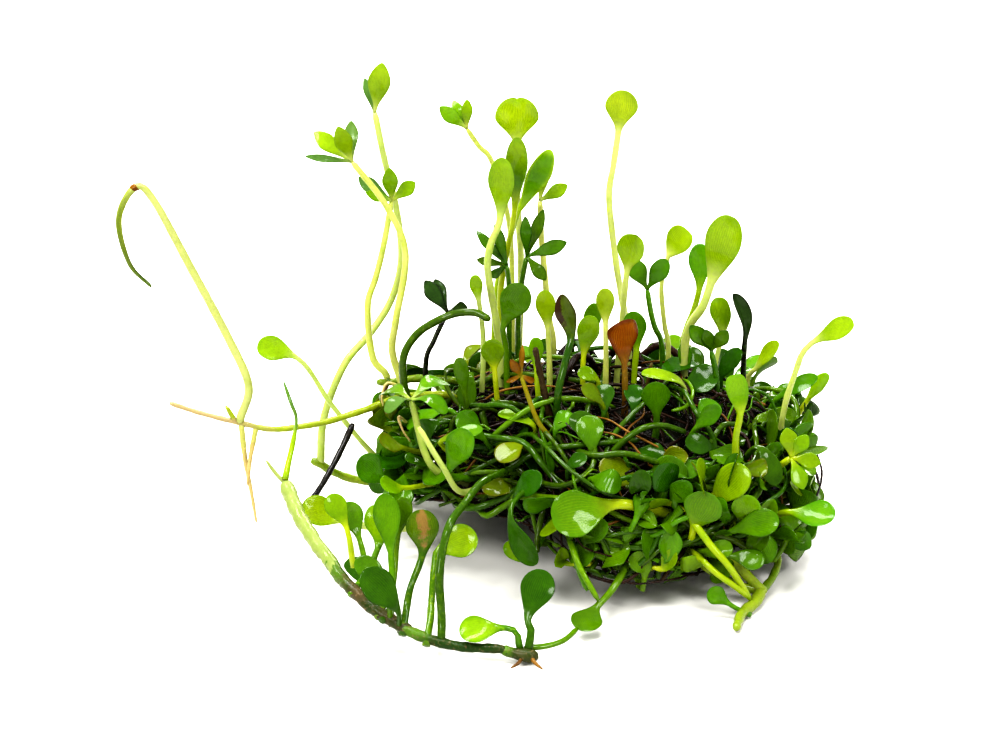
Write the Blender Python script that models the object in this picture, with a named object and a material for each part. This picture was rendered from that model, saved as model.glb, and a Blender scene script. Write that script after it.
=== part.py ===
# Dwarf water clover: one clump lifted out of its net pot, standing on its root mat.
# Origin at the centre of the mat's flat underside, X to the right, Y to the back, Z up.
# The tables are in millimetres. The model is in metres.
import bmesh
import bpy
import numpy as np
from mathutils import Vector
from mathutils.bvhtree import BVHTree

MM = 0.001

# Root mat
MAT_CENTRE = (1.0, -3.0)
MAT_HALF = (24.8, 20.5)
MAT_HEIGHT = 20.0
MAT_RIM = 2.5
MAT_BULGE = 0.75
MAT_SEGMENTS = 20
MAT_RINGS = 12
STRAND_SINK = 1.5
STRAND_RADII = (0.55, 0.4)
# Hollow in its side: share drawn in, direction and spread in radians
MAT_HOLLOW = (0.34, -2.2, 0.5)
# Side lifted clear of the ground: height, direction and spread
MAT_LIFT = (5.5, -2.5, 0.75)
# Share of the underside that is flat, and the curve from there to the rim: standing and lifted side
MAT_FOOT = (0.72, 0.52)
MAT_FOOT_CURVE = (2.0, 0.7)
# Lumps round the side: size, how many, where they begin, how far they lean with height
MAT_LUMPS = ((0.05, 3, 0.8, 0.0), (0.035, 7, 0.0, 2.0))
# Swells over the top: size, and waves from side to side and from front to back
MAT_SWELLS = (0.05, 4, 5)

# Fronds and stems
GAP = 0.32
LEAF_HALF_THICKNESS = 0.19
THINNED_BY = 0.4
WIDEST = 0.62
SHORTEST_STALK = 0.4
LEAFLET_START = 0.22
LEAFLET_ARCH = 0.06
LEAFLET_BEND = (0.15, 0)
HUB_RADIUS = 0.62
BLADE_STEPS = (0.0, 0.2, 0.42, 0.64, 0.86)
LEAFLET_STEPS = (0.0, 0.32, 0.62, 0.86)
LONGEST_STEP = 24.0
SHARPEST_TURN = 0.76
FROND_SIDES = 6
SMALL_SIDES = 4
SPLINE_STEPS = 16
HALF_STEP = 0.2
BLADE_FLATNESS = 1.3
SHARP_EDGE = 0.9
WELD = 1e-7

# Colour and roughness of each kind of growth
LOOKS = {
    "young": ((0.42, 0.62, 0.03), 0.30),
    "mid": ((0.16, 0.42, 0.02), 0.30),
    "mature": ((0.06, 0.24, 0.01), 0.25),
    "dark": ((0.02, 0.10, 0.01), 0.30),
    "olive": ((0.25, 0.36, 0.02), 0.40),
    "root": ((0.04, 0.03, 0.015), 0.60),
    "brown": ((0.30, 0.09, 0.01), 0.60),
    "orange": ((0.60, 0.24, 0.02), 0.50),
}

FRONT = (0.0, -1.0, 0.3)
FRONT_UP = (0.0, -0.7, 0.7)
UP = (0.0, -0.35, 0.9)

# Fronds with one blade: look, way the blade faces, blade (length, half width, cup, fold),
# stalk radii at foot and blade, and the route from the foot to the tip.
FRONDS = {
    "drooping_frond": ("olive", (1, -0.2, 0.2), (13, 0.5, 0, 0.3), (0.52, 0.42), [
        (-42, -3, 15.9), (-41, -3, 20), (-43.5, -3, 26.5), (-47.5, -3, 35), (-51.5, -3.5, 43.5),
        (-53.5, -4, 45.2), (-55.5, -4.5, 41.5), (-54.5, -4.5, 36), (-52, -4.5, 33)]),
    "left_spoon_frond": ("young", (0.3, -1, 0.5), (4.4, 1.5, 0.3, 0), (0.35, 0.3), [
        (-20, 5, 6), (-24.5, 4, 6.5), (-27, 3, 9), (-31.5, 2, 15.5), (-35, 1, 21.5), (-40, 0, 24)]),
    "heart_frond": ("young", FRONT, (5.4, 2.6, 0.8, 0), (0.45, 0.4), [
        (-9, 9, 12), (-8.5, 9, 26), (-8.5, 9, 32.5), (-9, 8, 40.5), (-9, 7, 46.5), (-9, 6, 53)]),
    "narrow_top_frond": ("mid", (0.1, -1, 0.2), (8, 1.35, 0.3, 0), (0.4, 0.35), [
        (-10.5, 5, 12), (-11, 5, 26.5), (-10.5, 5, 32), (-9.5, 4.5, 37.5), (-9.2, 4, 41),
        (-9, 3, 49)]),
    "front_spoon_frond": ("young", (-0.2, -1, 0.2), (7, 1.6, 0.4, 0), (0.5, 0.42), [
        (-11, 1.5, 12), (-11, 1.5, 22.5), (-12, 1.5, 29.5), (-12.5, 1.5, 33.5), (-12, 1.5, 36.5),
        (-11, 1.2, 39.5), (-10.7, 0, 47.5)]),
    "right_top_frond": ("mid", (0.3, -1, 0.2), (7.4, 1.5, 0.4, 0), (0.4, 0.35), [
        (-12, 7, 12), (-11.5, 7, 27), (-10.5, 7, 32), (-9, 6.5, 38), (-8, 6.5, 40), (-5, 6.5, 46.3)]),
    "round_dark_frond": ("mature", (-0.2, -1, 0.2), (5.2, 1.9, 0.3, 0), (0.4, 0.35), [
        (-10, -0.5, 12), (-10.3, -0.5, 23.5), (-10.6, -0.7, 26.5), (-8.2, -1, 32)]),
    "tall_spoon_frond": ("young", FRONT, (4.8, 1.95, 0.4, 0), (0.42, 0.38), [
        (4.5, 4, 12), (4.5, 4, 22.5), (3.5, 5, 29), (3, 5, 32), (2, 5, 40.5), (2.5, 5, 45),
        (3, 5, 49), (3.5, 4, 54.5)]),
    "folded_spoon_frond": ("young", (-0.3, -1, 0.3), (4.3, 1.9, 0, 0.45), (0.42, 0.35), [
        (3, 0, 12), (3, 0, 19), (3.5, -1, 26.5), (4, -2, 34), (5, -3, 39)]),
    "small_upright_frond": ("young", (-0.4, -1, 0.5), (3.4, 1.7, 0.4, 0), (0.35, 0.28), [
        (9.5, 7, 10), (9.5, 7, 20.5), (9, 7, 23.5), (8.5, 7, 28.5), (9, 7, 31.5), (9.5, 7, 33),
        (11.5, 7, 36)]),
    "veined_frond": ("young", (-0.25, -1, 0.35), (7.8, 2.2, 0.5, 0), (0.5, 0.5), [
        (11, -1, 10), (11, -1, 22.5), (11.5, -2, 27), (13, -3, 30), (14, -3.3, 33.5), (16, -5, 42)]),
    "dark_behind_frond": ("mature", (-0.3, -1, 0.3), (5, 1.4, 0.4, 0), (0.4, 0.35), [
        (11, 4, 10), (11, 4, 21.5), (11.5, 4, 24.5), (12.5, 4, 27.5), (13, 4, 30.5), (13, 5, 35)]),
    "green_right_frond": ("mid", (-0.3, -1, 0.3), (4.4, 1.35, 0.3, 0), (0.35, 0.3), [
        (14.5, 1, 8), (14.8, 1, 20), (15.6, 0.8, 25.2), (15.2, 0, 30)]),
    "dark_folded_right": ("dark", (0.6, -1, 0.3), (5.8, 1.15, 0, 0.6), (0.32, 0.35), [
        (18.6, 3, 6), (18.4, 3, 18.5), (18.4, 2.6, 23.6), (18.2, 2.7, 26.4), (16.9, 3, 29.3)]),
    "light_right_frond": ("mid", (-0.5, -0.6, 0.7), (4.2, 1.1, 0.3, 0), (0.35, 0.3), [
        (19.6, 4.8, 6), (19, 4.7, 16.8), (20.1, 4, 19.4), (22.6, 3.4, 22.9)]),
    "far_right_frond": ("young", (-0.4, -0.7, 0.7), (4.8, 1.4, 0.3, 0), (0.4, 0.35), [
        (19, -5, 5), (22, -6, 14), (22.5, -6, 16.5), (23, -6, 19.5), (24, -6, 23),
        (24.7, -6, 25.2), (26.2, -6, 26.8), (30.5, -7, 29.5)]),
    "dark_level_frond": ("mature", (-0.1, -0.6, 0.8), (5, 1.1, 0.3, 0), (0.4, 0.35), [
        (20, 0, 5), (20.6, 0, 12), (21.6, 0, 15.6), (22.8, -0.6, 17.6), (27, -1.5, 20.4)]),
    "front_light_frond": ("young", FRONT, (4.1, 1.3, 0.3, 0), (0.45, 0.4), [
        (14, -10, 6), (16.2, -15.2, 13.5), (16.4, -16.2, 18.8), (16.8, -16.5, 22.3),
        (16, -16.7, 26.8)]),
    "lower_right_leaf": ("mature", (0.3, -0.9, 0.5), (4.8, 1.3, 0.3, 0), (0.4, 0.35), [
        (16, -9, 8), (18, -13.2, 15.2), (19.6, -15, 16.6), (21.3, -16.5, 12.8)]),
    "glossy_right_frond": ("mid", (0.1, -0.6, 0.8), (5, 1.9, 0.3, 0), (0.45, 0.4), [
        (17, -10, 4), (21.5, -16, 8.8), (23.2, -18, 10), (27.8, -20.5, 10.6)]),
    "bright_front_frond": ("young", (0, -0.9, 0.45), (7, 2.75, 0.4, 0), (0.62, 0.6), [
        (12, -15, 8), (9.8, -19.5, 10.2), (6.4, -21.5, 11.9), (2.6, -23, 13.3), (-1.3, -24.5, 13),
        (-5.1, -26.5, 13)]),
    "front_round_frond": ("mature", (0, -0.35, 0.9), (4, 1.85, 0.3, 0), (0.5, 0.4), [
        (5, -18, 6.5), (3.5, -23.5, 5.5), (1.8, -26.3, 3.8), (0, -28.3, 2.6), (-1.8, -31.8, 1.4)]),
    "oval_front_frond": ("mature", (-0.1, -0.9, 0.4), (5.2, 1.95, 0.3, 0), (0.5, 0.4), [
        (-7.7, -36.6, 2.1), (-7.5, -36, 3.5), (-7.8, -35, 4.9), (-6, -33, 9.6)]),
    "yellow_round_frond": ("young", (0, -0.6, 0.8), (4.4, 1.75, 0.3, 0), (0.4, 0.35), [
        (-8.9, -36.5, 2.2), (-9.2, -36.2, 3.4), (-10.8, -36, 3.8), (-15.6, -36.6, 3.6)]),
    "round_low_frond": ("mid", (0, -0.9, 0.4), (5.1, 2.3, 0.4, 0), (0.45, 0.4), [
        (10, -15, 4), (11, -21.5, 7.8), (11.4, -23.2, 10.6), (13, -24.6, 15.4)]),
    "light_low_frond": ("young", (0, -0.9, 0.4), (4.3, 1.75, 0.4, 0), (0.45, 0.4), [
        (14.5, -14, 5), (16.2, -18.5, 8.8), (17.2, -21, 11), (17.6, -22, 14)]),
    "glossy_olive_frond": ("olive", (0, -0.7, 0.7), (5.4, 1.75, 0.4, 0), (0.45, 0.4), [
        (8.5, -12, 9), (7.5, -17, 14.2), (5.2, -18.8, 14.3), (0.4, -20.2, 17)]),
    "thin_bent_frond": ("mid", (-1, -0.4, 0.2), (6, 0.5, 0.1, 0), (0.4, 0.3), [
        (-36.2, -11.2, 12.1), (-36, -10.5, 13), (-35.5, -9.3, 15), (-35, -9, 18), (-35.5, -9, 20),
        (-36.5, -8, 22.5)]),
    "yellow_green_frond": ("young", (0, -0.7, 0.7), (5, 1.9, 0.3, 0), (0.45, 0.4), [
        (-20, -7, 3), (-26, -9, 4), (-29.8, -10, 5.5), (-34.5, -10.6, 7.6)]),
    "glossy_round_frond": ("mature", (0, -0.75, 0.65), (4.6, 2, 0.4, 0), (0.45, 0.4), [
        (-18.9, -34.6, 3.9), (-18.8, -32, 5), (-18.4, -29.6, 8.8), (-17.8, -29, 10.2),
        (-13.6, -29, 12)]),
    "spotted_frond": ("mature", (0, -0.8, 0.6), (4.8, 1.9, 0.5, 0), (0.45, 0.4), [
        (-21.6, -33.6, 4.9), (-21.2, -30, 6), (-19.8, -28, 9.6), (-20, -27, 14.4)]),
    "brown_edged_frond": ("mature", (-0.3, -1, 0.1), (5, 1.4, 0.1, 0.35), (0.5, 0.42), [
        (-4, -9, 10), (-4.3, -11.5, 21), (-3.5, -10.5, 25.4), (-2.7, -9.5, 29), (-3.8, -9, 33.8)]),
    "brown_dead_frond": ("brown", (0.4, -1, 0.2), (5, 1.9, -0.6, 0), (0.4, 0.35), [
        (3.7, -7, 10), (3.7, -9, 21.5), (3.6, -9, 25.5), (3.6, -10, 31)]),
    "light_green_frond": ("young", FRONT, (4.6, 1.45, 0.4, 0), (0.4, 0.35), [
        (5, -3, 10), (5, -3, 21), (5.2, -3.4, 25.2), (4.6, -4.2, 29.8)]),
    "dark_round_left": ("mature", (0.4, -0.9, 0.5), (4.2, 1.8, 0.3, 0), (0.45, 0.4), [
        (-19, -8, 8), (-23, -10.5, 10), (-24.8, -13, 12), (-27.6, -14, 15)]),
}

# Clover fronds: look, way the leaflets face, stalk radii, route to the hub, and for each
# leaflet its tip and half width.
CLOVERS = {
    "top_left_clover": ("young", FRONT, (0.5, 0.36), [
        (-19, 2, 9), (-22, 2.6, 14), (-23, 3, 18), (-24, 3, 22), (-23.5, 3, 26), (-22.3, 4, 34),
        (-24.5, 4, 40), (-28.5, 3, 46)], [
        ((-30, 1, 51), 0.95), ((-28.6, 5, 50.4), 0.75), ((-33, 5, 49), 0.9), ((-34, 2, 47), 0.4)]),
    "mid_left_clover": ("mid", FRONT, (0.45, 0.36), [
        (-25, 6, 17.9), (-26.5, 6, 20), (-27, 6, 26.5), (-26, 6.5, 30), (-25, 7, 34),
        (-24, 7.5, 39.5)], [
        ((-24.2, 6.5, 44), 0.85), ((-21.2, 8.6, 41.5), 0.8), ((-28, 9, 42), 0.8),
        ((-27, 5, 41.5), 0.6)]),
    "tall_left_pair": ("young", FRONT, (0.5, 0.38), [
        (-33, 6, 6.9), (-32.5, 6.5, 12), (-30, 7, 18.5), (-26.7, 8.6, 22.2), (-24.2, 10, 26),
        (-23, 10.5, 31), (-23.5, 11, 37), (-25, 11, 44), (-26, 11, 49.5)], [
        ((-25, 10, 56), 1.2), ((-27.2, 12, 53.5), 0.5)]),
    "pale_right_frond": ("young", FRONT, (0.45, 0.36), [
        (-4.5, 8, 10), (-4.5, 8, 20.5), (-5, 8, 24), (-5.5, 8, 29), (-6, 8.5, 34.5), (-6.2, 9, 39)], [
        ((-2.9, 9, 41), 0.75), ((-5.6, 10, 43.5), 0.7)]),
    "small_top_clover": ("mid", FRONT, (0.35, 0.3), [
        (-9.5, 12, 8), (-9.5, 12, 26.5), (-10, 11, 36), (-12, 10.4, 43.5), (-13.5, 10, 45.5),
        (-15, 9.5, 48)], [
        ((-18.2, 8.5, 51), 0.8), ((-16.6, 11, 51), 0.6), ((-14.9, 9.5, 51.6), 0.6)]),
    "dark_clover_right": ("dark", FRONT, (0.4, 0.32), [
        (-8.8, 4, 12), (-8.8, 4, 25.8), (-8.4, 4, 30.2), (-7.8, 4, 33.7)], [
        ((-8, 2.6, 39.3), 0.62), ((-5.8, 5, 39.3), 0.65), ((-3, 4, 35.5), 0.8),
        ((-5.5, 2.5, 31.2), 0.7)]),
    "dark_clover_left": ("dark", FRONT, (0.35, 0.3), [
        (-10, 2.8, 12), (-9.9, 2.8, 28.5), (-10.2, 3, 33)], [
        ((-11.6, 3, 38.2), 0.62), ((-13.8, 3.8, 37), 0.55), ((-13.8, 4.2, 33.2), 0.5),
        ((-12.2, 3.9, 31), 0.5)]),
    "dark_folded_clover": ("dark", FRONT, (0.35, 0.3), [
        (-19.6, 3.4, 8), (-20, 3.4, 19.6), (-18.9, 2.6, 23.5), (-17.3, 2, 27.3)], [
        ((-20, 3, 31), 0.9), ((-18.8, 4, 30.8), 0.8), ((-14.9, 3.4, 27.4), 0.8)]),
    "twin_leaf_frond": ("mature", FRONT, (0.4, 0.32), [
        (8.5, 1, 10), (8.5, 1, 22.5), (7.5, 0.3, 26), (7, 0, 28), (6.5, 0, 31)], [
        ((4.7, 0.6, 34.4), 1.0), ((8.7, -0.6, 35), 1.0)]),
    "dark_spread_frond": ("dark", FRONT, (0.4, 0.35), [
        (15, -4, 8), (14.8, -4.2, 20), (14, -4.5, 25)], [
        ((11.4, -5.2, 28.4), 0.9), ((15.9, -4.8, 27.6), 0.8), ((13.2, -6, 28.2), 0.7)]),
    "light_cluster_frond": ("young", (0.1, -0.9, 0.5), (0.45, 0.38), [
        (17, -8, 6), (20.8, -12.6, 12.6), (23, -14.6, 15.5)], [
        ((22.4, -14, 19), 0.95), ((26.4, -15.6, 15.2), 0.85), ((24.4, -16.6, 12.3), 0.9),
        ((24.9, -14.2, 18.2), 0.8)]),
    "folded_left_frond": ("mid", (0, -0.1, 1), (0.5, 0.38), [
        (-14.5, -10, 10), (-19.1, -14.2, 14.4), (-21.4, -12, 21.7)], [
        ((-17.2, -14.2, 20.9), 1.2), ((-24.2, -15, 21.3), 0.9), ((-17.1, -9, 22.6), 1.4),
        ((-24.9, -9.8, 21.6), 1.3)]),
    "dead_orange_frond": ("orange", FRONT, (0.35, 0.26), [
        (-4.4, -10, 10), (-4.6, -13.6, 16.4), (-6.7, -14.6, 20.3), (-8.6, -15, 26)], [
        ((-8.4, -14.4, 29.6), 0.3), ((-9.8, -16, 28.4), 0.5), ((-7, -14.4, 25), 0.34),
        ((-10.3, -15.6, 25.4), 0.26)]),
}

# Stems and runners: look, and lengths that grow together as (radius at start, at end, route).
STEMS = {
    "left_runner": ("olive", [
        (0.28, 0.5, [(-50.5, -3, 17.6), (-46.5, -3, 16.2), (-42, -3, 15), (-38, -3, 14.2),
                     (-32.5, -3, 15), (-28, -2, 16), (-22, 0.6, 17), (-14, 2, 16.5)]),
        (0.38, 0.16, [(-42, -3, 15), (-41.6, -3, 10), (-41, -3, 6), (-40.5, -3, 2)]),
        (0.35, 0.18, [(-40.2, -3, 14.6), (-41, -3.8, 10.5), (-41.3, -4.4, 7.5)]),
        (0.4, 0.2, [(-42.6, -3, 15), (-43.4, -3, 16.6), (-43.8, -3, 17.2)])]),
    "lower_left_runner": ("olive", [
        (0.5, 0.55, [(-34.2, 6, 6.3), (-33, 6, 5.7), (-31.5, 6.5, 4.5), (-28.5, 7, 3.2),
                     (-24, 7, 2.8), (-18, 5, 3.5)])]),
    "left_crown": ("olive", [
        (0.45, 0.55, [(-26, 6, 16.6), (-23.5, 5.8, 16.8), (-20.5, 5.8, 17.2), (-15, 6, 16.5),
                      (-10, 6, 14)]),
        (0.3, 0.14, [(-24.6, 5.8, 16.8), (-25.4, 6, 14.2), (-24.8, 6.4, 11.4)])]),
    "black_root_left": ("root", [
        (0.34, 0.4, [(-34.5, -8, 6), (-33, -7, 7.5), (-31.5, -5.4, 9.5), (-30, -3.8, 12),
                     (-28.6, -2.4, 14.7)])]),
    "arching_stem": ("mature", [
        (0.5, 0.45, [(-19, -1.6, 12), (-21.9, -1.4, 17), (-22.6, -1.2, 20.6), (-22.4, -1, 23.2),
                     (-21, -0.6, 25.4), (-19, -0.8, 27), (-16.5, -1.2, 28.3), (-14, -2, 28.8),
                     (-12.2, -2.8, 28.2)])]),
    "right_node": ("olive", [
        (0.75, 0.5, [(19.5, -21.2, 1.6), (18.6, -23.5, 1), (17, -26, 0.9), (16, -30, 0.8)]),
        (0.6, 0.5, [(19.9, -21.6, 1.3), (15.8, -20.6, 5.2), (11.5, -17.5, 8.2), (10, -12, 9)]),
        (0.5, 0.45, [(19.6, -21.3, 1.2), (15.6, -21.6, 2.9), (12, -19.5, 4.6), (10, -14, 6)]),
        (0.5, 0.4, [(19.1, -21.9, 1.3), (21, -18.8, 2.2), (21.6, -15, 3.4), (19, -10, 5)]),
        (0.2, 0.14, [(19.3, -21.2, 1.7), (18.6, -18.6, 1.8), (17.6, -16.6, 3.2)])]),
    "front_crown": ("olive", [
        (0.55, 0.85, [(-10.9, -36.9, 1.6), (-9.4, -37.2, 1.2), (-8, -37.6, 1.1),
                      (-6.8, -37.4, 0.95)]),
        (0.3, 0.12, [(-7.6, -37.6, 1.1), (-7, -38.8, 0.7), (-6.2, -39.6, 0.4)]),
        (0.28, 0.12, [(-8.4, -37.4, 1.1), (-8.9, -38.6, 0.7), (-9.8, -39.3, 0.4)])]),
    "front_runner_outer": ("young", [
        (0.9, 0.8, [(-36.3, -11.5, 10.9), (-35.2, -15, 9.7), (-34, -18, 8.7), (-32.2, -22, 7.7),
                    (-31, -24.2, 7.2)]),
        (0.3, 0.16, [(-36.2, -11.8, 10.9), (-37.4, -11.4, 12), (-38.6, -11, 13.6)])]),
    "front_runner_middle": ("olive", [
        (0.8, 0.7, [(-30.75, -24.7, 7.05), (-29.4, -27.6, 6.4), (-28, -30, 5.9), (-25.4, -32.8, 4.7),
                    (-23.6, -34, 4)])]),
    "front_runner_inner": ("root", [
        (0.68, 0.5, [(-23.05, -34.3, 3.75), (-21, -35.4, 3), (-18.5, -36.2, 2.3), (-15, -36.8, 1.8),
                     (-11.35, -36.9, 1.65)]),
        (0.5, 0.42, [(-17.6, -36.3, 2.4), (-17.6, -35.2, 5), (-17.8, -33.2, 9.6),
                      (-16.8, -31, 14), (-15, -27.5, 15.4), (-13.2, -22.5, 15.7),
                      (-11, -18, 15), (-10.3, -15.4, 14.1)])]),
}

# Small fronds fused to what they grow from: host, way the blade faces, blade (length, half
# width, cup, fold), stalk radii and route.
SMALL_FRONDS = [
    ("root_mat", FRONT, (2.8, 0.8, 0.2, 0), (0.35, 0.3), [
        (-13.5, 0.5, 12), (-13, 0.5, 24), (-14, -0.5, 33)]),
    ("root_mat", FRONT, (4.4, 1.35, 0.3, 0), (0.4, 0.3), [
        (-1, -3.6, 15), (-1.1, -3, 23), (-0.2, -3, 28.8)]),
    ("root_mat", FRONT, (4.4, 1.2, 0.3, 0), (0.4, 0.3), [
        (-5, -3, 15), (-5.2, -4, 25), (-5.8, -5, 32.8)]),
    ("root_mat", FRONT, (3.4, 0.9, 0.2, 0), (0.4, 0.3), [
        (-6, -7, 15), (-6.6, -8, 22), (-6.8, -8, 28)]),
    ("root_mat", FRONT, (3.4, 1.4, 0.3, 0), (0.4, 0.3), [
        (-11, -6, 15), (-11.5, -7.6, 22), (-12, -8.6, 28)]),
    ("root_mat", FRONT, (3.6, 1.1, 0.3, 0), (0.4, 0.3), [
        (1.4, -5, 15), (1.5, -6.2, 24), (1.3, -6, 33.4)]),
    ("root_mat", FRONT, (4.2, 1.75, 0.4, 0), (0.45, 0.4), [
        (6.5, -9, 12), (7.3, -12.4, 18), (7, -14.5, 25)]),
    ("root_mat", UP, (5.2, 1.1, 0, 0.4), (0.4, 0.3), [
        (11, -5, 14), (11, -6.6, 20), (9.8, -7.8, 22.4), (5.6, -8.6, 23.6)]),
    ("root_mat", FRONT_UP, (3.6, 1.2, 0.3, 0), (0.4, 0.3), [
        (11, -9, 12), (11.4, -12.6, 17.6), (14.6, -14, 21.6)]),
    ("root_mat", FRONT_UP, (4.2, 1.5, 0.3, 0), (0.4, 0.3), [
        (2, -11, 12), (0.8, -14.4, 18.4), (-3, -15.6, 20.8)]),
    ("root_mat", FRONT_UP, (3, 1, 0.3, 0), (0.4, 0.3), [
        (2, -9, 14), (1.2, -11.4, 20.4), (-1.4, -12, 23.6)]),
    ("root_mat", FRONT_UP, (4, 1.6, 0.4, 0), (0.4, 0.3), [
        (-11, -9, 12), (-12.6, -12.4, 16.6), (-16, -13.6, 20.4)]),
    ("root_mat", FRONT, (4, 0.9, 0.2, 0), (0.4, 0.3), [
        (-14, -5, 12), (-15, -7.6, 19.6), (-15.8, -8.4, 25.6)]),
    ("root_mat", FRONT_UP, (5, 1.8, 0.4, 0), (0.45, 0.4), [
        (-12.6, -9.4, 10.5), (-16.6, -16.6, 14), (-16.6, -18.4, 16.4), (-14.6, -19, 20.8)]),
    ("root_mat", UP, (4.8, 1.2, 0.3, 0), (0.4, 0.3), [
        (-12, -9, 11), (-18, -14, 17), (-13, -15.4, 19.4)]),
    ("root_mat", FRONT_UP, (4, 1.3, 0.3, 0), (0.4, 0.3), [
        (-13.6, -7, 11), (-21.8, -12.4, 15.6), (-25, -16.4, 18.4)]),
    ("root_mat", FRONT_UP, (3.8, 1.3, 0.3, 0), (0.4, 0.3), [
        (-13, -5.6, 10.4), (-20.8, -12.8, 11), (-24.8, -18, 13.4)]),
    ("root_mat", FRONT_UP, (4.2, 1.5, 0.4, 0), (0.4, 0.3), [
        (-4.4, -11, 8), (-6.8, -20.6, 6.6), (-10.6, -23, 7.4)]),
    ("root_mat", FRONT_UP, (4, 1.5, 0.3, 0), (0.4, 0.3), [
        (-8.4, -12.6, 8), (-9.2, -18.4, 12.4), (-6.2, -20.3, 15.6)]),
    ("root_mat", FRONT_UP, (3.8, 1.4, 0.3, 0), (0.4, 0.3), [
        (12, -8, 10), (14.2, -12.6, 15.6), (10.6, -14.6, 17.4)]),
    ("root_mat", UP, (4, 1.2, 0.3, 0), (0.4, 0.3), [
        (19, 2, 7), (23.4, 1.6, 11.6), (26.4, 1.4, 16.6), (28.6, 1, 19.6)]),
    ("root_mat", FRONT, (4, 1.1, 0.3, 0), (0.4, 0.3), [
        (0, 6, 14), (-0.4, 7, 21), (0.6, 7.4, 26.4)]),
    ("root_mat", UP, (4, 1.3, 0.3, 0), (0.4, 0.3), [
        (8, 9, 12), (9, 11.6, 17), (11, 14.6, 19.4)]),
    ("root_mat", UP, (4, 1.3, 0.3, 0), (0.4, 0.3), [
        (-6, 10, 12), (-7, 14.6, 15.6), (-9, 18, 16.4)]),
    ("root_mat", UP, (4.2, 1.4, 0.3, 0), (0.4, 0.3), [
        (-14, 9, 9), (-17, 13, 12.6), (-20.4, 14.6, 14)]),
    ("root_mat", UP, (4.2, 1.4, 0.3, 0), (0.4, 0.3), [
        (3, 12, 6), (4, 18.4, 8.6), (5, 22, 10.4)]),
    ("root_mat", UP, (4.2, 1.4, 0.3, 0), (0.4, 0.3), [
        (16, 8, 6), (20.4, 11.6, 9.8), (23.4, 13.4, 12)]),
    ("front_runner_middle", FRONT_UP, (4.4, 1.7, 0.3, 0), (0.45, 0.35), [
        (-27.6, -30.3, 5.8), (-26, -27, 7), (-24.9, -23.6, 9), (-25.2, -21.6, 12.6)]),
    ("front_runner_middle", FRONT, (3.6, 1.2, 0.3, 0), (0.4, 0.3), [
        (-24.6, -33.2, 4.4), (-23.2, -29, 6), (-22.8, -26.4, 10), (-21.9, -25.4, 15.2)]),
    ("front_runner_middle", FRONT, (5.6, 1.6, 0.3, 0), (0.45, 0.35), [
        (-23.4, -33, 4.6), (-23.2, -31, 6.4), (-23.5, -29.2, 11.1), (-24.1, -27.7, 16.7)]),
    ("front_runner_middle", UP, (5, 1.6, 0.3, 0), (0.45, 0.35), [
        (-24, -33.7, 4.2), (-22.9, -31.4, 5), (-24.2, -29.3, 5.4), (-28.6, -27, 8)]),
    ("right_node", FRONT, (2.6, 1.15, 0.2, 0), (0.32, 0.28), [
        (17.2, -25.8, 0.9), (15.9, -26, 1.7), (13, -26.2, 3.9)]),
]

# Leafless stalks fused to the mat: radius at start, at end, and route.
STALKS = [
    (0.45, 0.4, [(-3.4, -15, 8), (-2.8, -22.4, 8.4), (-1.9, -25.4, 6.2), (-0.9, -27, 4.2)]),
    (0.4, 0.32, [(-12.4, -10.6, 10.5), (-15.6, -16.6, 12), (-17.6, -18.6, 16), (-20.4, -17.6, 20.6)]),
]

# Thick root strands that arch over the mat: start, height of the arch, end.
STRANDS = [
    ((-6, 4), 21.5, (2, 10)), ((4, 13), 19.5, (14, 9)), ((-5, -4), 22.5, (2, 4)),
    ((5, -3), 21.5, (14, -7)), ((-17, -6), 18.5, (-8, -7)), ((-2, 3), 21.5, (-5, -7)),
    ((1, 11), 21.0, (8, 5)),
]


def spline_through(points):
    """Smooth curve through the points, each stretch a cubic set by its four nearest points."""
    given = np.array(points, dtype=float)
    ends = [2 * given[:1] - given[1:2], given, 2 * given[-1:] - given[-2:-1]]
    padded = np.concatenate(ends)
    p0, p1, p2, p3 = (padded[k:len(padded) - 3 + k, None, :] for k in range(4))
    t = np.arange(SPLINE_STEPS)[None, :, None] / SPLINE_STEPS
    curve = 0.5 * (2 * p1 + (p2 - p0) * t + (2 * p0 - 5 * p1 + 4 * p2 - p3) * t ** 2
                   + (3 * p1 - p0 - 3 * p2 + p3) * t ** 3)
    return np.concatenate([curve.reshape(-1, 3), given[-1:]])


def lengths_along(curve):
    steps = np.linalg.norm(np.diff(curve, axis=0), axis=1)
    return np.concatenate([[0.0], np.cumsum(steps)])


def stations_at(curve, where):
    run = lengths_along(curve)
    return np.stack([np.interp(where, run, curve[:, axis]) for axis in range(3)], axis=1)


def spaced_by_bend(curve, upto):
    """Lengths along the curve from 0 to upto, close together where it bends and far apart elsewhere."""
    run = lengths_along(curve)
    along = unit(np.diff(curve, axis=0))
    turns = np.arccos(np.clip(np.sum(along[1:] * along[:-1], axis=1), -1, 1))
    turned = np.concatenate([[0.0], np.cumsum(turns), [turns.sum()]])
    weight = turned / SHARPEST_TURN + run / LONGEST_STEP
    last = np.interp(upto, run, weight)
    count = max(int(np.ceil(last)), 2)
    return np.interp(np.linspace(0, last, count + 1), weight, run)


def unit(vectors):
    return vectors / np.linalg.norm(vectors, axis=1, keepdims=True)


def frames_at(curve, where, face):
    """Point, side and upper direction of each section, turned so that the blade's end faces face."""
    points = stations_at(curve, where)
    along = unit(stations_at(curve, where + HALF_STEP) - stations_at(curve, where - HALF_STEP))
    level = np.cross(along[-3], np.array(face, dtype=float))
    side = unit(level - (along @ level)[:, None] * along)
    return points, side, np.cross(side, along)


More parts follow.
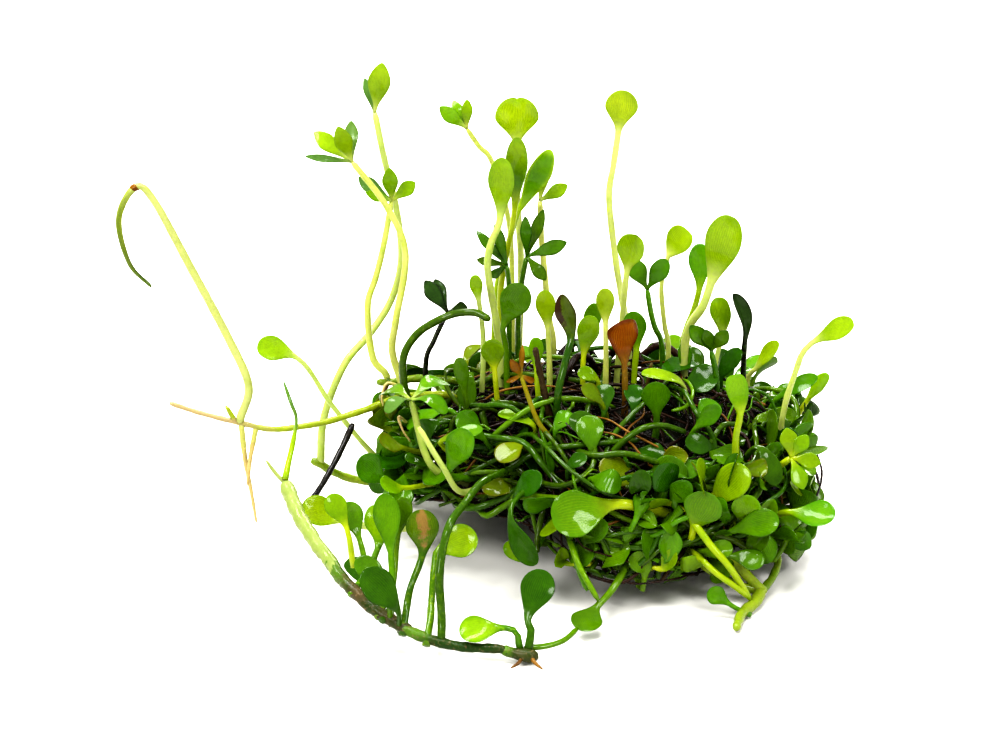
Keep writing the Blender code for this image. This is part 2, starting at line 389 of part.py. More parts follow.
def blade_half_width(u, start, widest):
    """Widens in a smooth step to the widest place, then rounds off to the tip."""
    rise = np.clip(u / WIDEST, 0, 1)
    fall = np.clip((u - WIDEST) / (1 - WIDEST), 0, 1)
    return (start + (widest - start) * rise ** 2 * (3 - 2 * rise)) * np.sqrt(1 - fall ** 2)


def blade_half_thickness(u, start):
    return start + (LEAF_HALF_THICKNESS - start) * np.clip(u / THINNED_BY, 0, 1)


def new_object(name, mesh):
    made = bpy.data.objects.new(name, mesh)
    bpy.context.scene.collection.objects.link(made)
    return made


def loft(name, curve, where, face, half_widths, half_thicknesses, bent, sides):
    """Sections along the curve, closed by a flat cap at the foot and a point at the tip.

    Each section is bent up at its edges: cup with the square of the place across, fold evenly.
    """
    cup, fold = bent
    points, side, upper = frames_at(curve, where, face)
    turn = np.arange(sides) * 2 * np.pi / sides
    across = half_widths[:, None] * np.cos(turn)[None, :]
    lift = half_thicknesses[:, None] * np.sin(turn)[None, :]
    bend = cup * (across / half_widths.max()) ** 2 + fold * np.abs(across)
    lift = lift + bend * (half_widths > half_thicknesses * BLADE_FLATNESS)[:, None]
    rings = (points[:, None, :] + across[..., None] * side[:, None, :]
             + lift[..., None] * upper[:, None, :])
    bm = bmesh.new()
    rows = [[bm.verts.new(Vector(corner) * MM) for corner in ring] for ring in rings]
    tip = bm.verts.new(Vector(curve[-1]) * MM)
    for low, high in zip(rows, rows[1:]):
        for k in range(sides):
            after = (k + 1) % sides
            bm.faces.new((low[k], low[after], high[after], high[k]))
    for k in range(sides):
        bm.faces.new((rows[-1][k], rows[-1][(k + 1) % sides], tip))
    bm.faces.new(rows[0][::-1])
    bmesh.ops.recalc_face_normals(bm, faces=bm.faces[:])
    mesh = bpy.data.meshes.new(name)
    bm.to_mesh(mesh)
    bm.free()
    return new_object(name, mesh)


def frond(name, curve, face, blade, radii, steps=BLADE_STEPS, sides=FROND_SIDES):
    """Stalk and blade in one loft: round where the stalk is, flat and wide in the blade."""
    blade_length, half_width, cup, fold = blade
    total = lengths_along(curve)[-1]
    stalk_length = max(total - blade_length, SHORTEST_STALK)
    stalk_at = spaced_by_bend(curve, stalk_length)[:-1]
    u = np.array(steps)
    where = np.concatenate([stalk_at, stalk_length + u * (total - stalk_length)])
    stalk_radius = between(radii, stalk_at / stalk_length)
    widths = np.concatenate([stalk_radius, blade_half_width(u, radii[1], half_width)])
    thicknesses = np.concatenate([stalk_radius, blade_half_thickness(u, radii[1])])
    return loft(name, curve, where, face, widths, thicknesses, (cup, fold), sides)


def leaflet(hub, tip, half_width, face):
    """Wedge-shaped leaflet from the hub, lifted a little along its middle."""
    tip = np.array(tip, dtype=float)
    rise = np.array(face, dtype=float) * LEAFLET_ARCH * np.linalg.norm(tip - hub)
    curve = spline_through([hub, (hub + tip) / 2 + rise, tip])
    u = np.array(LEAFLET_STEPS)
    where = u * lengths_along(curve)[-1]
    widths = blade_half_width(u, LEAFLET_START, half_width)
    thicknesses = blade_half_thickness(u, LEAFLET_START)
    return loft("leaflet", curve, where, face, widths, thicknesses, LEAFLET_BEND, SMALL_SIDES)


def hub_knob(hub):
    """Small knob at the head of the stalk, in which the leaflets start."""
    bm = bmesh.new()
    bmesh.ops.create_icosphere(bm, subdivisions=1, radius=HUB_RADIUS * MM)
    bmesh.ops.translate(bm, verts=bm.verts[:], vec=Vector(hub) * MM)
    mesh = bpy.data.meshes.new("hub")
    bm.to_mesh(mesh)
    bm.free()
    return new_object("hub", mesh)


def stem(name, start_radius, end_radius, curve):
    """Round stem that tapers evenly: a bevelled curve with filled caps, made a mesh."""
    total = lengths_along(curve)[-1]
    where = spaced_by_bend(curve, total)
    radii = start_radius + (end_radius - start_radius) * where / total
    data = bpy.data.curves.new(name, "CURVE")
    data.dimensions = "3D"
    data.bevel_depth = MM
    data.bevel_resolution = 1
    data.use_fill_caps = True
    spline = data.splines.new("POLY")
    spline.points.add(len(where) - 1)
    for point, place, radius in zip(spline.points, stations_at(curve, where), radii):
        point.co = (*(place * MM), 1.0)
        point.radius = radius
    drawn = new_object(name + "_curve", data)
    bpy.context.view_layer.update()
    evaluated = drawn.evaluated_get(bpy.context.evaluated_depsgraph_get())
    mesh = bpy.data.meshes.new_from_object(evaluated)
    bpy.data.objects.remove(drawn)
    bpy.data.curves.remove(data)
    bm = bmesh.new()
    bm.from_mesh(mesh)
    bmesh.ops.remove_doubles(bm, verts=bm.verts[:], dist=WELD)
    bmesh.ops.recalc_face_normals(bm, faces=bm.faces[:])
    bm.to_mesh(mesh)
    bm.free()
    return new_object(name, mesh)


def fuse(body, pieces):
    """Boolean union of the pieces into the body. Each piece is removed once it is joined."""
    for piece in pieces:
        union = body.modifiers.new("union", "BOOLEAN")
        union.operation = "UNION"
        union.solver = "MANIFOLD"
        union.object = piece
        bpy.context.view_layer.update()
        evaluated = body.evaluated_get(bpy.context.evaluated_depsgraph_get())
        joined = bpy.data.meshes.new_from_object(evaluated)
        body.modifiers.clear()
        before = body.data
        body.data = joined
        bpy.data.meshes.remove(before)
        used = piece.data
        bpy.data.objects.remove(piece)
        bpy.data.meshes.remove(used)


def near_turn(turn, centre, spread):
    """1 in the direction centre, falling to 0 either side of it over about spread radians."""
    off = (turn - centre + np.pi) % (2 * np.pi) - np.pi
    return float(np.exp(-(off / spread) ** 2))


def between(ends, share):
    return ends[0] + (ends[1] - ends[0]) * share


def mat_place(x, y, z):
    """Where a point of a round ball goes on the mat.

    The mat is a lumpy bun with a flat foot and a hollow at its front left, and its left side is
    lifted clear of the ground.
    """
    turn = float(np.arctan2(y, x))
    drawn_in, *hollow_side = MAT_HOLLOW
    raised, *lifted_side = MAT_LIFT
    out = 1 - drawn_in * near_turn(turn, *hollow_side)
    for size, count, begin, lean in MAT_LUMPS:
        out += size * np.sin(count * turn + begin + lean * z)

    lift = near_turn(turn, *lifted_side)
    rim = MAT_RIM + raised * lift
    if z >= -WELD:
        swell, sideways, deep = MAT_SWELLS
        bulge = max(z, 0) ** MAT_BULGE * (1 + swell * np.sin(sideways * x) * np.cos(deep * y))
        height = rim + (MAT_HEIGHT - rim) * bulge
    else:
        foot = between(MAT_FOOT, lift)
        past_foot = max((float(np.hypot(x, y)) - foot) / (1 - foot), 0)
        height = rim * past_foot ** between(MAT_FOOT_CURVE, lift)
    return MAT_CENTRE[0] + MAT_HALF[0] * x * out, MAT_CENTRE[1] + MAT_HALF[1] * y * out, height


def root_mat():
    """The mat's skin, made from a ball, and the same skin to measure from."""
    bm = bmesh.new()
    bmesh.ops.create_uvsphere(bm, u_segments=MAT_SEGMENTS, v_segments=MAT_RINGS, radius=1.0)
    for vert in bm.verts:
        vert.co = Vector(mat_place(*vert.co)) * MM
    flat = [face for face in bm.faces if max(vert.co.z for vert in face.verts) < WELD]
    bmesh.ops.dissolve_faces(bm, faces=flat)
    bmesh.ops.recalc_face_normals(bm, faces=bm.faces[:])
    mesh = bpy.data.meshes.new("root_mat")
    bm.to_mesh(mesh)
    shape = BVHTree.FromBMesh(bm)
    bm.free()
    return new_object("root_mat", mesh), shape


def clear_of_mat(curve, radius, shape):
    """The longest stretch of the curve on which a stalk of this radius is clear of the mat."""
    stretches = [[]]
    for point in curve:
        place, normal, _, far = shape.find_nearest(Vector(point) * MM)
        inside = (Vector(point) * MM - place).dot(normal) < 0
        if inside or far < (radius + GAP) * MM:
            stretches.append([])
        else:
            stretches[-1].append(point)
    return np.array(max(stretches, key=len))


def mat_height(x, y, shape):
    hit = shape.ray_cast(Vector((x, y, 2 * MAT_HEIGHT)) * MM, Vector((0, 0, -1)))
    return hit[0].z / MM


def strand(ends, shape):
    """Root that leaves the mat, arches over it and goes back in."""
    start, height, end = ends
    foot = (*start, mat_height(*start, shape) - STRAND_SINK)
    head = (*end, mat_height(*end, shape) - STRAND_SINK)
    middle = ((start[0] + end[0]) / 2, (start[1] + end[1]) / 2, height)
    return stem("strand", *STRAND_RADII, spline_through([foot, middle, head]))


def material_for(name, look):
    colour, roughness = LOOKS[look]
    material = bpy.data.materials.new(name)
    material.use_nodes = True
    shader = material.node_tree.nodes["Principled BSDF"]
    shader.inputs["Base Color"].default_value = (*colour, 1.0)
    shader.inputs["Roughness"].default_value = roughness
    shader.inputs["Metallic"].default_value = 0.0
    return material


def finish(piece, look, origin, collection):
    """Puts the piece's origin at its foot, gives it its look and files it under the plant."""
    place = Vector(origin) * MM
    for vert in piece.data.vertices:
        vert.co -= place
    piece.location = place
    piece.data.materials.clear()
    piece.data.materials.append(material_for(piece.name, look))
    for polygon in piece.data.polygons:
        polygon.material_index = 0
    piece.data.shade_smooth()
    piece.data.set_sharp_from_angle(angle=SHARP_EDGE)
    bpy.context.scene.collection.objects.unlink(piece)
    collection.objects.link(piece)


def main():
    for old in list(bpy.data.objects):
        bpy.data.objects.remove(old)
    plant = bpy.data.collections.new("dwarf_water_clover")
    bpy.context.scene.collection.children.link(plant)

    mat, shape = root_mat()
    extras = {}
    for host, face, blade, radii, route in SMALL_FRONDS:
        made = frond("small", spline_through(route), face, blade, radii, LEAFLET_STEPS, SMALL_SIDES)
        extras.setdefault(host, []).append(made)
    strands = [strand(ends, shape) for ends in STRANDS]
    stalks = [stem("stalk", first, last, spline_through(route)) for first, last, route in STALKS]
    fuse(mat, strands + stalks + extras["root_mat"])
    finish(mat, "root", (0, 0, 0), plant)

    for name, (look, face, blade, radii, route) in FRONDS.items():
        curve = clear_of_mat(spline_through(route), radii[0], shape)
        finish(frond(name, curve, face, blade, radii), look, curve[0], plant)

    for name, (look, face, radii, route, leaflets) in CLOVERS.items():
        curve = clear_of_mat(spline_through(route), radii[0], shape)
        body = stem(name, *radii, curve)
        blades = [leaflet(route[-1], tip, width, face) for tip, width in leaflets]
        fuse(body, [hub_knob(route[-1])] + blades)
        finish(body, look, curve[0], plant)

    for name, (look, lengths) in STEMS.items():
        grown = []
        for start_radius, end_radius, route in lengths:
            curve = clear_of_mat(spline_through(route), max(start_radius, end_radius), shape)
            grown.append(stem(name, start_radius, end_radius, curve))
        fuse(grown[0], grown[1:] + extras.get(name, []))
        finish(grown[0], look, lengths[0][2][0], plant)


main()
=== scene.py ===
import math

import bpy
import numpy as np
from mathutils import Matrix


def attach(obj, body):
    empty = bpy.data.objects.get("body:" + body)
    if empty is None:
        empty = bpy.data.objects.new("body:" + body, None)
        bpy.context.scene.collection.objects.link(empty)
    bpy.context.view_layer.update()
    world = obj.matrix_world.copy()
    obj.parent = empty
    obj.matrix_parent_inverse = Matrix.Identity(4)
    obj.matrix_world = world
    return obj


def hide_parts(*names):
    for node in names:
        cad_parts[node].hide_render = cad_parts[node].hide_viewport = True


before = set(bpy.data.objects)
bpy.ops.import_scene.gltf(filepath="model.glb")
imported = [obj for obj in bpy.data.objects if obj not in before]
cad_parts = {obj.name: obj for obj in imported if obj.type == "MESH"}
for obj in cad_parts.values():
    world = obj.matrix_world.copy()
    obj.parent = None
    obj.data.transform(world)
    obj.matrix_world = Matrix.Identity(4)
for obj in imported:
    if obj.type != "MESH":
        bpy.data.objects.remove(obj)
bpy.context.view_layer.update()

MM = 0.001
SEED = 41

# Sections that a curve gets between two points of its route
SPLINE_STEPS = 20
# How far before and behind a section its direction is taken
NEARBY = 0.25
# Share of a blade's length at which it is widest
WIDEST = 0.66
# Stretch of the route that a blade takes up, over the length its row gives
BLADE_RUN = 1.22
# Half thickness of a blade, half width of a leaflet at its hub, and share of the length at which
# the last section of a blade stands
THIN = 0.1
LEAFLET_FOOT = 0.2
LAST_SECTION = 0.997
# How far a stalk reaches into what it grows from
ROOT_DEPTH = 0.9

# Root mat, as in the solid: centre, half widths, height, and height of its widest line
MAT_CENTRE = (1.0, -3.0)
MAT_HALF = (24.8, 20.5)
MAT_HEIGHT = 20.0
MAT_RIM = 2.5
# Power of the dome: under one is fuller than a round dome
MAT_BULGE = 0.75
# Hollow in its side: share drawn in, direction, spread in radians
MAT_HOLLOW = (0.34, -2.2, 0.5)
# Side that is clear of the ground: how far it is lifted, direction, spread
MAT_LIFT = (5.5, -2.5, 0.75)
# Flat foot, as a share of the way out, and power of the curve up from it: elsewhere, lifted side
MAT_FOOT = (0.72, 0.52)
MAT_FOOT_CURVE = (2.0, 0.7)
# Lumps round the mat: size, count, where they begin, how they turn with height
MAT_LUMPS = ((0.05, 3, 0.8, 0.0), (0.035, 7, 0.0, 2.0))
# Swells on the dome: size, count sideways, count front to back
MAT_SWELLS = (0.05, 4, 5)

# Ways that a blade looks
FRONT = (0.0, -1.0, 0.3)
FRONT_UP = (0.0, -0.7, 0.7)
UP = (0.0, -0.35, 0.9)

# Fronds with one blade: slot, kind, way the blade faces, blade (length, half width, cup, fold),
# stalk radii at foot and blade, and the route from the foot to the tip.
FRONDS = {
    "left_spoon_frond": ("young_leaf", "young", (0.3, -1, 0.5), (4.4, 1.5, 0.3, 0), (0.35, 0.3), [
        (-20, 5, 6), (-24.5, 4, 6.5), (-27, 3, 9), (-31.5, 2, 15.5), (-35, 1, 21.5), (-40, 0, 24)]),
    "heart_frond": ("young_leaf", "bright", FRONT, (5.4, 2.6, 0.8, 0), (0.45, 0.4), [
        (-9, 9, 12), (-8.5, 9, 26), (-8.5, 9, 32.5), (-9, 8, 40.5), (-9, 7, 46.5), (-9, 6, 53)]),
    # Its light tip is painted light and its dark lower blade painted shade
    "narrow_top_frond": ("green_leaf", "light tipped", (0.1, -1, 0.2), (8, 1.35, 0.3, 0), (0.4, 0.35), [
        (-10.5, 5, 12), (-11, 5, 26.5), (-10.5, 5, 32), (-9.5, 4.5, 37.5), (-9.2, 4, 41),
        (-9, 3, 49)]),
    "front_spoon_frond": ("young_leaf", "young", (-0.2, -1, 0.2), (7, 1.6, 0.4, 0), (0.5, 0.42), [
        (-11, 1.5, 12), (-11, 1.5, 22.5), (-12, 1.5, 29.5), (-12.5, 1.5, 33.5), (-12, 1.5, 36.5),
        (-11, 1.2, 39.5), (-10.7, 0, 47.5)]),
    # Its bright rim is painted glow of light through the thin edge
    "right_top_frond": ("green_leaf", "light rimmed", (0.3, -1, 0.2), (7.4, 1.5, 0.4, 0), (0.4, 0.35), [
        (-12, 7, 12), (-11.5, 7, 27), (-10.5, 7, 32), (-9, 6.5, 38), (-8, 6.5, 40), (-5, 6.5, 46.3)]),
    "round_dark_frond": ("dark_leaf", "mature", (-0.2, -1, 0.2), (5.2, 1.9, 0.3, 0), (0.4, 0.35), [
        (-10, -0.5, 12), (-10.3, -0.5, 23.5), (-10.6, -0.7, 26.5), (-8.2, -1, 32)]),
    "tall_spoon_frond": ("young_leaf", "bright", FRONT, (4.8, 1.95, 0.4, 0), (0.42, 0.38), [
        (4.5, 4, 12), (4.5, 4, 22.5), (3.5, 5, 29), (3, 5, 32), (2, 5, 40.5), (2.5, 5, 45),
        (3, 5, 49), (3.5, 4, 54.5)]),
    "folded_spoon_frond": ("young_leaf", "young", (-0.3, -1, 0.3), (4.3, 1.9, 0, 0.45), (0.42, 0.35), [
        (3, 0, 12), (3, 0, 19), (3.5, -1, 26.5), (4, -2, 34), (5, -3, 39)]),
    "small_upright_frond": ("young_leaf", "young", (-0.4, -1, 0.5), (3.4, 1.7, 0.4, 0), (0.35, 0.28), [
        (9.5, 7, 10), (9.5, 7, 20.5), (9, 7, 23.5), (8.5, 7, 28.5), (9, 7, 31.5), (9.5, 7, 33),
        (11.5, 7, 36)]),
    "veined_frond": ("young_leaf", "young", (-0.25, -1, 0.35), (7.8, 2.2, 0.5, 0), (0.5, 0.5), [
        (11, -1, 10), (11, -1, 22.5), (11.5, -2, 27), (13, -3, 30), (14, -3.3, 33.5), (16, -5, 42)]),
    "dark_behind_frond": ("dark_leaf", "fresh", (-0.3, -1, 0.3), (5, 1.4, 0.4, 0), (0.4, 0.35), [
        (11, 4, 10), (11, 4, 21.5), (11.5, 4, 24.5), (12.5, 4, 27.5), (13, 4, 30.5), (13, 5, 35)]),
    "green_right_frond": ("green_leaf", "young", (-0.3, -1, 0.3), (4.4, 1.35, 0.3, 0.15), (0.35, 0.3), [
        (14.5, 1, 8), (14.8, 1, 20), (15.6, 0.8, 25.2), (15.2, 0, 30)]),
    "dark_folded_right": ("darkest_leaf", "blackened", (0.6, -1, 0.3), (5.8, 1.15, 0, 0.6), (0.32, 0.35), [
        (18.6, 3, 6), (18.4, 3, 18.5), (18.4, 2.6, 23.6), (18.2, 2.7, 26.4), (16.9, 3, 29.3)]),
    "light_right_frond": ("green_leaf", "young", (-0.5, -0.6, 0.7), (4.2, 1.1, 0.3, 0), (0.35, 0.3), [
        (19.6, 4.8, 6), (19, 4.7, 16.8), (20.1, 4, 19.4), (22.6, 3.4, 22.9)]),
    "far_right_frond": ("young_leaf", "young", (-0.4, -0.7, 0.7), (4.8, 1.4, 0.3, 0), (0.4, 0.35), [
        (19, -5, 5), (22, -6, 14), (22.5, -6, 16.5), (23, -6, 19.5), (24, -6, 23),
        (24.7, -6, 25.2), (26.2, -6, 26.8), (30.5, -7, 29.5)]),
    "dark_level_frond": ("dark_leaf", "mature", (-0.1, -0.6, 0.8), (5, 1.1, 0.3, 0), (0.4, 0.35), [
        (20, 0, 5), (20.6, 0, 12), (21.6, 0, 15.6), (22.8, -0.6, 17.6), (27, -1.5, 20.4)]),
    "front_light_frond": ("young_leaf", "lime", FRONT, (4.1, 1.3, 0.3, 0), (0.45, 0.4), [
        (14, -10, 6), (16.2, -15.2, 13.5), (16.4, -16.2, 18.8), (16.8, -16.5, 22.3),
        (16, -16.7, 26.8)]),
    "lower_right_leaf": ("dark_leaf", "deep", (0.3, -0.9, 0.5), (4.8, 1.3, 0.3, 0), (0.4, 0.35), [
        (16, -9, 8), (18, -13.2, 15.2), (19.6, -15, 16.6), (21.3, -16.5, 12.8)]),
    "glossy_right_frond": ("green_leaf", "fresh", (0.1, -0.6, 0.8), (5, 1.9, 0.3, 0), (0.45, 0.4), [
        (17, -10, 4), (21.5, -16, 8.8), (23.2, -18, 10), (27.8, -20.5, 10.6)]),
    "bright_front_frond": ("young_leaf", "fresh", (0, -0.9, 0.45), (7, 2.75, 0.4, 0), (0.62, 0.6), [
        (12, -15, 8), (9.8, -19.5, 10.2), (6.4, -21.5, 11.9), (2.6, -23, 13.3), (-1.3, -24.5, 13),
        (-5.1, -26.5, 13)]),
    "front_round_frond": ("dark_leaf", "mature", (0, -0.35, 0.9), (4, 1.85, 0.3, 0), (0.5, 0.4), [
        (5, -18, 6.5), (3.5, -23.5, 5.5), (1.8, -26.3, 3.8), (0, -28.3, 2.6), (-1.8, -31.8, 1.4)]),
    "oval_front_frond": ("dark_leaf", "deep", (-0.1, -0.9, 0.4), (5.2, 1.95, 0.3, 0), (0.5, 0.4), [
        (-7.7, -36.6, 2.1), (-7.5, -36, 3.5), (-7.8, -35, 4.9), (-6, -33, 9.6)]),
    "yellow_round_frond": ("young_leaf", "dark stalked", (0, -0.6, 0.8), (4.4, 1.75, 0.3, 0), (0.4, 0.35), [
        (-8.9, -36.5, 2.2), (-9.2, -36.2, 3.4), (-10.8, -36, 3.8), (-15.6, -36.6, 3.6)]),
    "round_low_frond": ("green_leaf", "fresh", (0, -0.9, 0.4), (5.1, 2.3, 0.4, 0), (0.45, 0.4), [
        (10, -15, 4), (11, -21.5, 7.8), (11.4, -23.2, 10.6), (13, -24.6, 15.4)]),
    "light_low_frond": ("young_leaf", "lime", (0, -0.9, 0.4), (4.3, 1.75, 0.4, 0), (0.45, 0.4), [
        (14.5, -14, 5), (16.2, -18.5, 8.8), (17.2, -21, 11), (17.6, -22, 14)]),
    "glossy_olive_frond": ("runner", "olive", (0, -0.7, 0.7), (5.4, 1.75, 0.4, 0), (0.45, 0.4), [
        (8.5, -12, 9), (7.5, -17, 14.2), (5.2, -18.8, 14.3), (0.4, -20.2, 17)]),
    "thin_bent_frond": ("green_leaf", "fresh", (-1, -0.4, 0.2), (6, 0.5, 0.1, 0), (0.4, 0.3), [
        (-36.2, -11.2, 12.1), (-36, -10.5, 13), (-35.5, -9.3, 15), (-35, -9, 18), (-35.5, -9, 20),
        (-36.5, -8, 22.5)]),
    "yellow_green_frond": ("young_leaf", "bright", (0, -0.7, 0.7), (5, 1.9, 0.3, 0), (0.45, 0.4), [
        (-20, -7, 3), (-26, -9, 4), (-29.8, -10, 5.5), (-34.5, -10.6, 7.6)]),
    "glossy_round_frond": ("dark_leaf", "dark stalked", (0, -0.75, 0.65), (4.6, 2, 0.4, 0), (0.45, 0.4), [
        (-18.9, -34.6, 3.9), (-18.8, -32, 5), (-18.4, -29.6, 8.8), (-17.8, -29, 10.2),
        (-13.6, -29, 12)]),
    "spotted_frond": ("dark_leaf", "spotted", (0, -0.8, 0.6), (4.8, 1.9, 0.5, 0), (0.45, 0.4), [
        (-21.6, -33.6, 4.9), (-21.2, -30, 6), (-19.8, -28, 9.6), (-20, -27, 14.4)]),
    "brown_edged_frond": ("dark_leaf", "browned", (-0.3, -1, 0.1), (5, 1.4, 0.1, 0.35), (0.5, 0.42), [
        (-4, -9, 10), (-4.3, -11.5, 21), (-3.5, -10.5, 25.4), (-2.7, -9.5, 29), (-3.8, -9, 33.8)]),
    "brown_dead_frond": ("dead_leaf", "dead", (0.4, -1, 0.2), (5, 1.9, -0.6, 0), (0.4, 0.35), [
        (3.7, -7, 10), (3.7, -9, 21.5), (3.6, -9, 25.5), (3.6, -10, 31)]),
    "light_green_frond": ("young_leaf", "fresh", FRONT, (4.6, 1.45, 0.4, 0), (0.4, 0.35), [
        (5, -3, 10), (5, -3, 21), (5.2, -3.4, 25.2), (4.6, -4.2, 29.8)]),
    "dark_round_left": ("dark_leaf", "mature", (0.4, -0.9, 0.5), (4.2, 1.8, 0.3, 0), (0.45, 0.4), [
        (-19, -8, 8), (-23, -10.5, 10), (-24.8, -13, 12), (-27.6, -14, 15)]),
}

# Where the blade or the leaflets of a frond differ from the plain shape
BLADE_TOUCHES = {
    "heart_frond": dict(notch=0.7, ripple=0.03, full=0.4),
    "tall_spoon_frond": dict(ripple=0.02),
    "left_spoon_frond": dict(full=0.42),
    "front_spoon_frond": dict(ripple=0.03),
    "narrow_top_frond": dict(ripple=0.03),
    "right_top_frond": dict(point=1.45, ripple=0.03),
    "bright_front_frond": dict(full=0.42, ripple=0.04),
    "front_light_frond": dict(full=0.28, wedge=0.8, point=2.4),
    "green_right_frond": dict(full=0.32, wedge=0.5),
    "far_right_frond": dict(ripple=0.04, full=0.4),
    "twin_leaf_frond": dict(full=0.4),
    "folded_left_frond": dict(arch=0.22, full=0.45, point=1.8),
    "spotted_frond": dict(ripple=0.05),
    "brown_edged_frond": dict(ripple=0.06, point=1.3, wedge=0.3),
    "brown_dead_frond": dict(ripple=0.16, wedge=0.6),
    "veined_frond": dict(ripple=0.04, wedge=0.5, full=0.42),
    "folded_spoon_frond": dict(wedge=0.3, full=0.25),
    "small_upright_frond": dict(full=0.3, wedge=0.8),
    "dead_orange_frond": dict(curl=0.3),
}

# The dying frond: its route, and the brown mark where it bends over
DROOPING_FROND = [
    (-42, -3, 15.9), (-41, -3, 20), (-43.5, -3, 26.5), (-47.5, -3, 35), (-51.5, -3.5, 43.5),
    (-53.5, -4, 45.2), (-55.5, -4.5, 41.5), (-54.5, -4.5, 36), (-52, -4.5, 33)]
WITHERED_BEND = [(-53.0, -3.9, 45.1), (-53.5, -4, 45.2), (-54.1, -4.1, 44.8)]

# Fronds with leaflets: slot, kind, way they face, stem radii, route to the hub, and the tip
# and half width of each leaflet.
CLOVERS = {
    "top_left_clover": ("young_leaf", "young", FRONT, (0.5, 0.36), [
        (-19, 2, 9), (-22, 2.6, 14), (-23, 3, 18), (-24, 3, 22), (-23.5, 3, 26), (-22.3, 4, 34),
        (-24.5, 4, 40), (-28.5, 3, 46)], [
        ((-30, 1, 51), 0.95), ((-28.6, 5, 50.4), 0.75), ((-33, 5, 49), 0.9), ((-34, 2, 47), 0.4)]),
    "mid_left_clover": ("green_leaf", "pale stalked", FRONT, (0.45, 0.36), [
        (-25, 6, 17.9), (-26.5, 6, 20), (-27, 6, 26.5), (-26, 6.5, 30), (-25, 7, 34),
        (-24, 7.5, 39.5)], [
        ((-24.2, 6.5, 44), 0.85), ((-21.2, 8.6, 41.5), 0.8), ((-28, 9, 42), 0.8),
        ((-27, 5, 41.5), 0.6)]),
    "tall_left_pair": ("young_leaf", "young", FRONT, (0.5, 0.38), [
        (-33, 6, 6.9), (-32.5, 6.5, 12), (-30, 7, 18.5), (-26.7, 8.6, 22.2), (-24.2, 10, 26),
        (-23, 10.5, 31), (-23.5, 11, 37), (-25, 11, 44), (-26, 11, 49.5)], [
        ((-25, 10, 56), 1.2), ((-27.2, 12, 53.5), 0.5)]),
    "pale_right_frond": ("young_leaf", "young", FRONT, (0.45, 0.36), [
        (-4.5, 8, 10), (-4.5, 8, 20.5), (-5, 8, 24), (-5.5, 8, 29), (-6, 8.5, 34.5), (-6.2, 9, 39)], [
        ((-2.9, 9, 41), 0.75), ((-5.6, 10, 43.5), 0.7)]),
    "small_top_clover": ("green_leaf", "pale stalked", FRONT, (0.35, 0.3), [
        (-9.5, 12, 8), (-9.5, 12, 26.5), (-10, 11, 36), (-12, 10.4, 43.5), (-13.5, 10, 45.5),
        (-15, 9.5, 48)], [
        ((-18.2, 8.5, 51), 0.8), ((-16.6, 11, 51), 0.6), ((-14.9, 9.5, 51.6), 0.6)]),
    "dark_clover_right": ("darkest_leaf", "clover", FRONT, (0.4, 0.32), [
        (-8.8, 4, 12), (-8.8, 4, 25.8), (-8.4, 4, 30.2), (-7.8, 4, 33.7)], [
        ((-8, 2.6, 39.3), 0.62), ((-5.8, 5, 39.3), 0.65), ((-3, 4, 35.5), 0.8),
        ((-5.5, 2.5, 31.2), 0.7)]),
    "dark_clover_left": ("darkest_leaf", "clover", FRONT, (0.35, 0.3), [
        (-10, 2.8, 12), (-9.9, 2.8, 28.5), (-10.2, 3, 33)], [
        ((-11.6, 3, 38.2), 0.62), ((-13.8, 3.8, 37), 0.55), ((-13.8, 4.2, 33.2), 0.5),
        ((-12.2, 3.9, 31), 0.5)]),
    "dark_folded_clover": ("darkest_leaf", "blackened", FRONT, (0.35, 0.3), [
        (-19.6, 3.4, 8), (-20, 3.4, 19.6), (-18.9, 2.6, 23.5), (-17.3, 2, 27.3)], [
        ((-20, 3, 31), 0.9), ((-18.8, 4, 30.8), 0.8), ((-14.9, 3.4, 27.4), 0.8)]),
    "twin_leaf_frond": ("dark_leaf", "mature", FRONT, (0.4, 0.32), [
        (8.5, 1, 10), (8.5, 1, 22.5), (7.5, 0.3, 26), (7, 0, 28), (6.5, 0, 31)], [
        ((4.7, 0.6, 34.4), 1.0), ((8.7, -0.6, 35), 1.0)]),
    "dark_spread_frond": ("darkest_leaf", "clover", FRONT, (0.4, 0.35), [
        (15, -4, 8), (14.8, -4.2, 20), (14, -4.5, 25)], [
        ((11.4, -5.2, 28.4), 0.9), ((15.9, -4.8, 27.6), 0.8), ((13.2, -6, 28.2), 0.7)]),
    "light_cluster_frond": ("young_leaf", "lime", (0.1, -0.9, 0.5), (0.45, 0.38), [
        (17, -8, 6), (20.8, -12.6, 12.6), (23, -14.6, 15.5)], [
        ((22.4, -14, 19), 0.95), ((26.4, -15.6, 15.2), 0.85), ((24.4, -16.6, 12.3), 0.9),
        ((24.9, -14.2, 18.2), 0.8)]),
    "folded_left_frond": ("green_leaf", "pale based", (0, -0.1, 1), (0.5, 0.38), [
        (-14.5, -10, 10), (-19.1, -14.2, 14.4), (-21.4, -12, 21.7)], [
        ((-17.2, -14.2, 20.9), 1.2), ((-24.2, -15, 21.3), 0.9), ((-17.1, -9, 22.6), 1.4),
        ((-24.9, -9.8, 21.6), 1.3)]),
    "dead_orange_frond": ("dead_stalk", "withered", FRONT, (0.35, 0.26), [
        (-4.4, -10, 10), (-4.6, -13.6, 16.4), (-6.7, -14.6, 20.3), (-8.6, -15, 26)], [
        ((-8.4, -14.4, 29.6), 0.3), ((-9.8, -16, 28.4), 0.5), ((-7, -14.4, 25), 0.34),
        ((-10.3, -15.6, 25.4), 0.26)]),
}

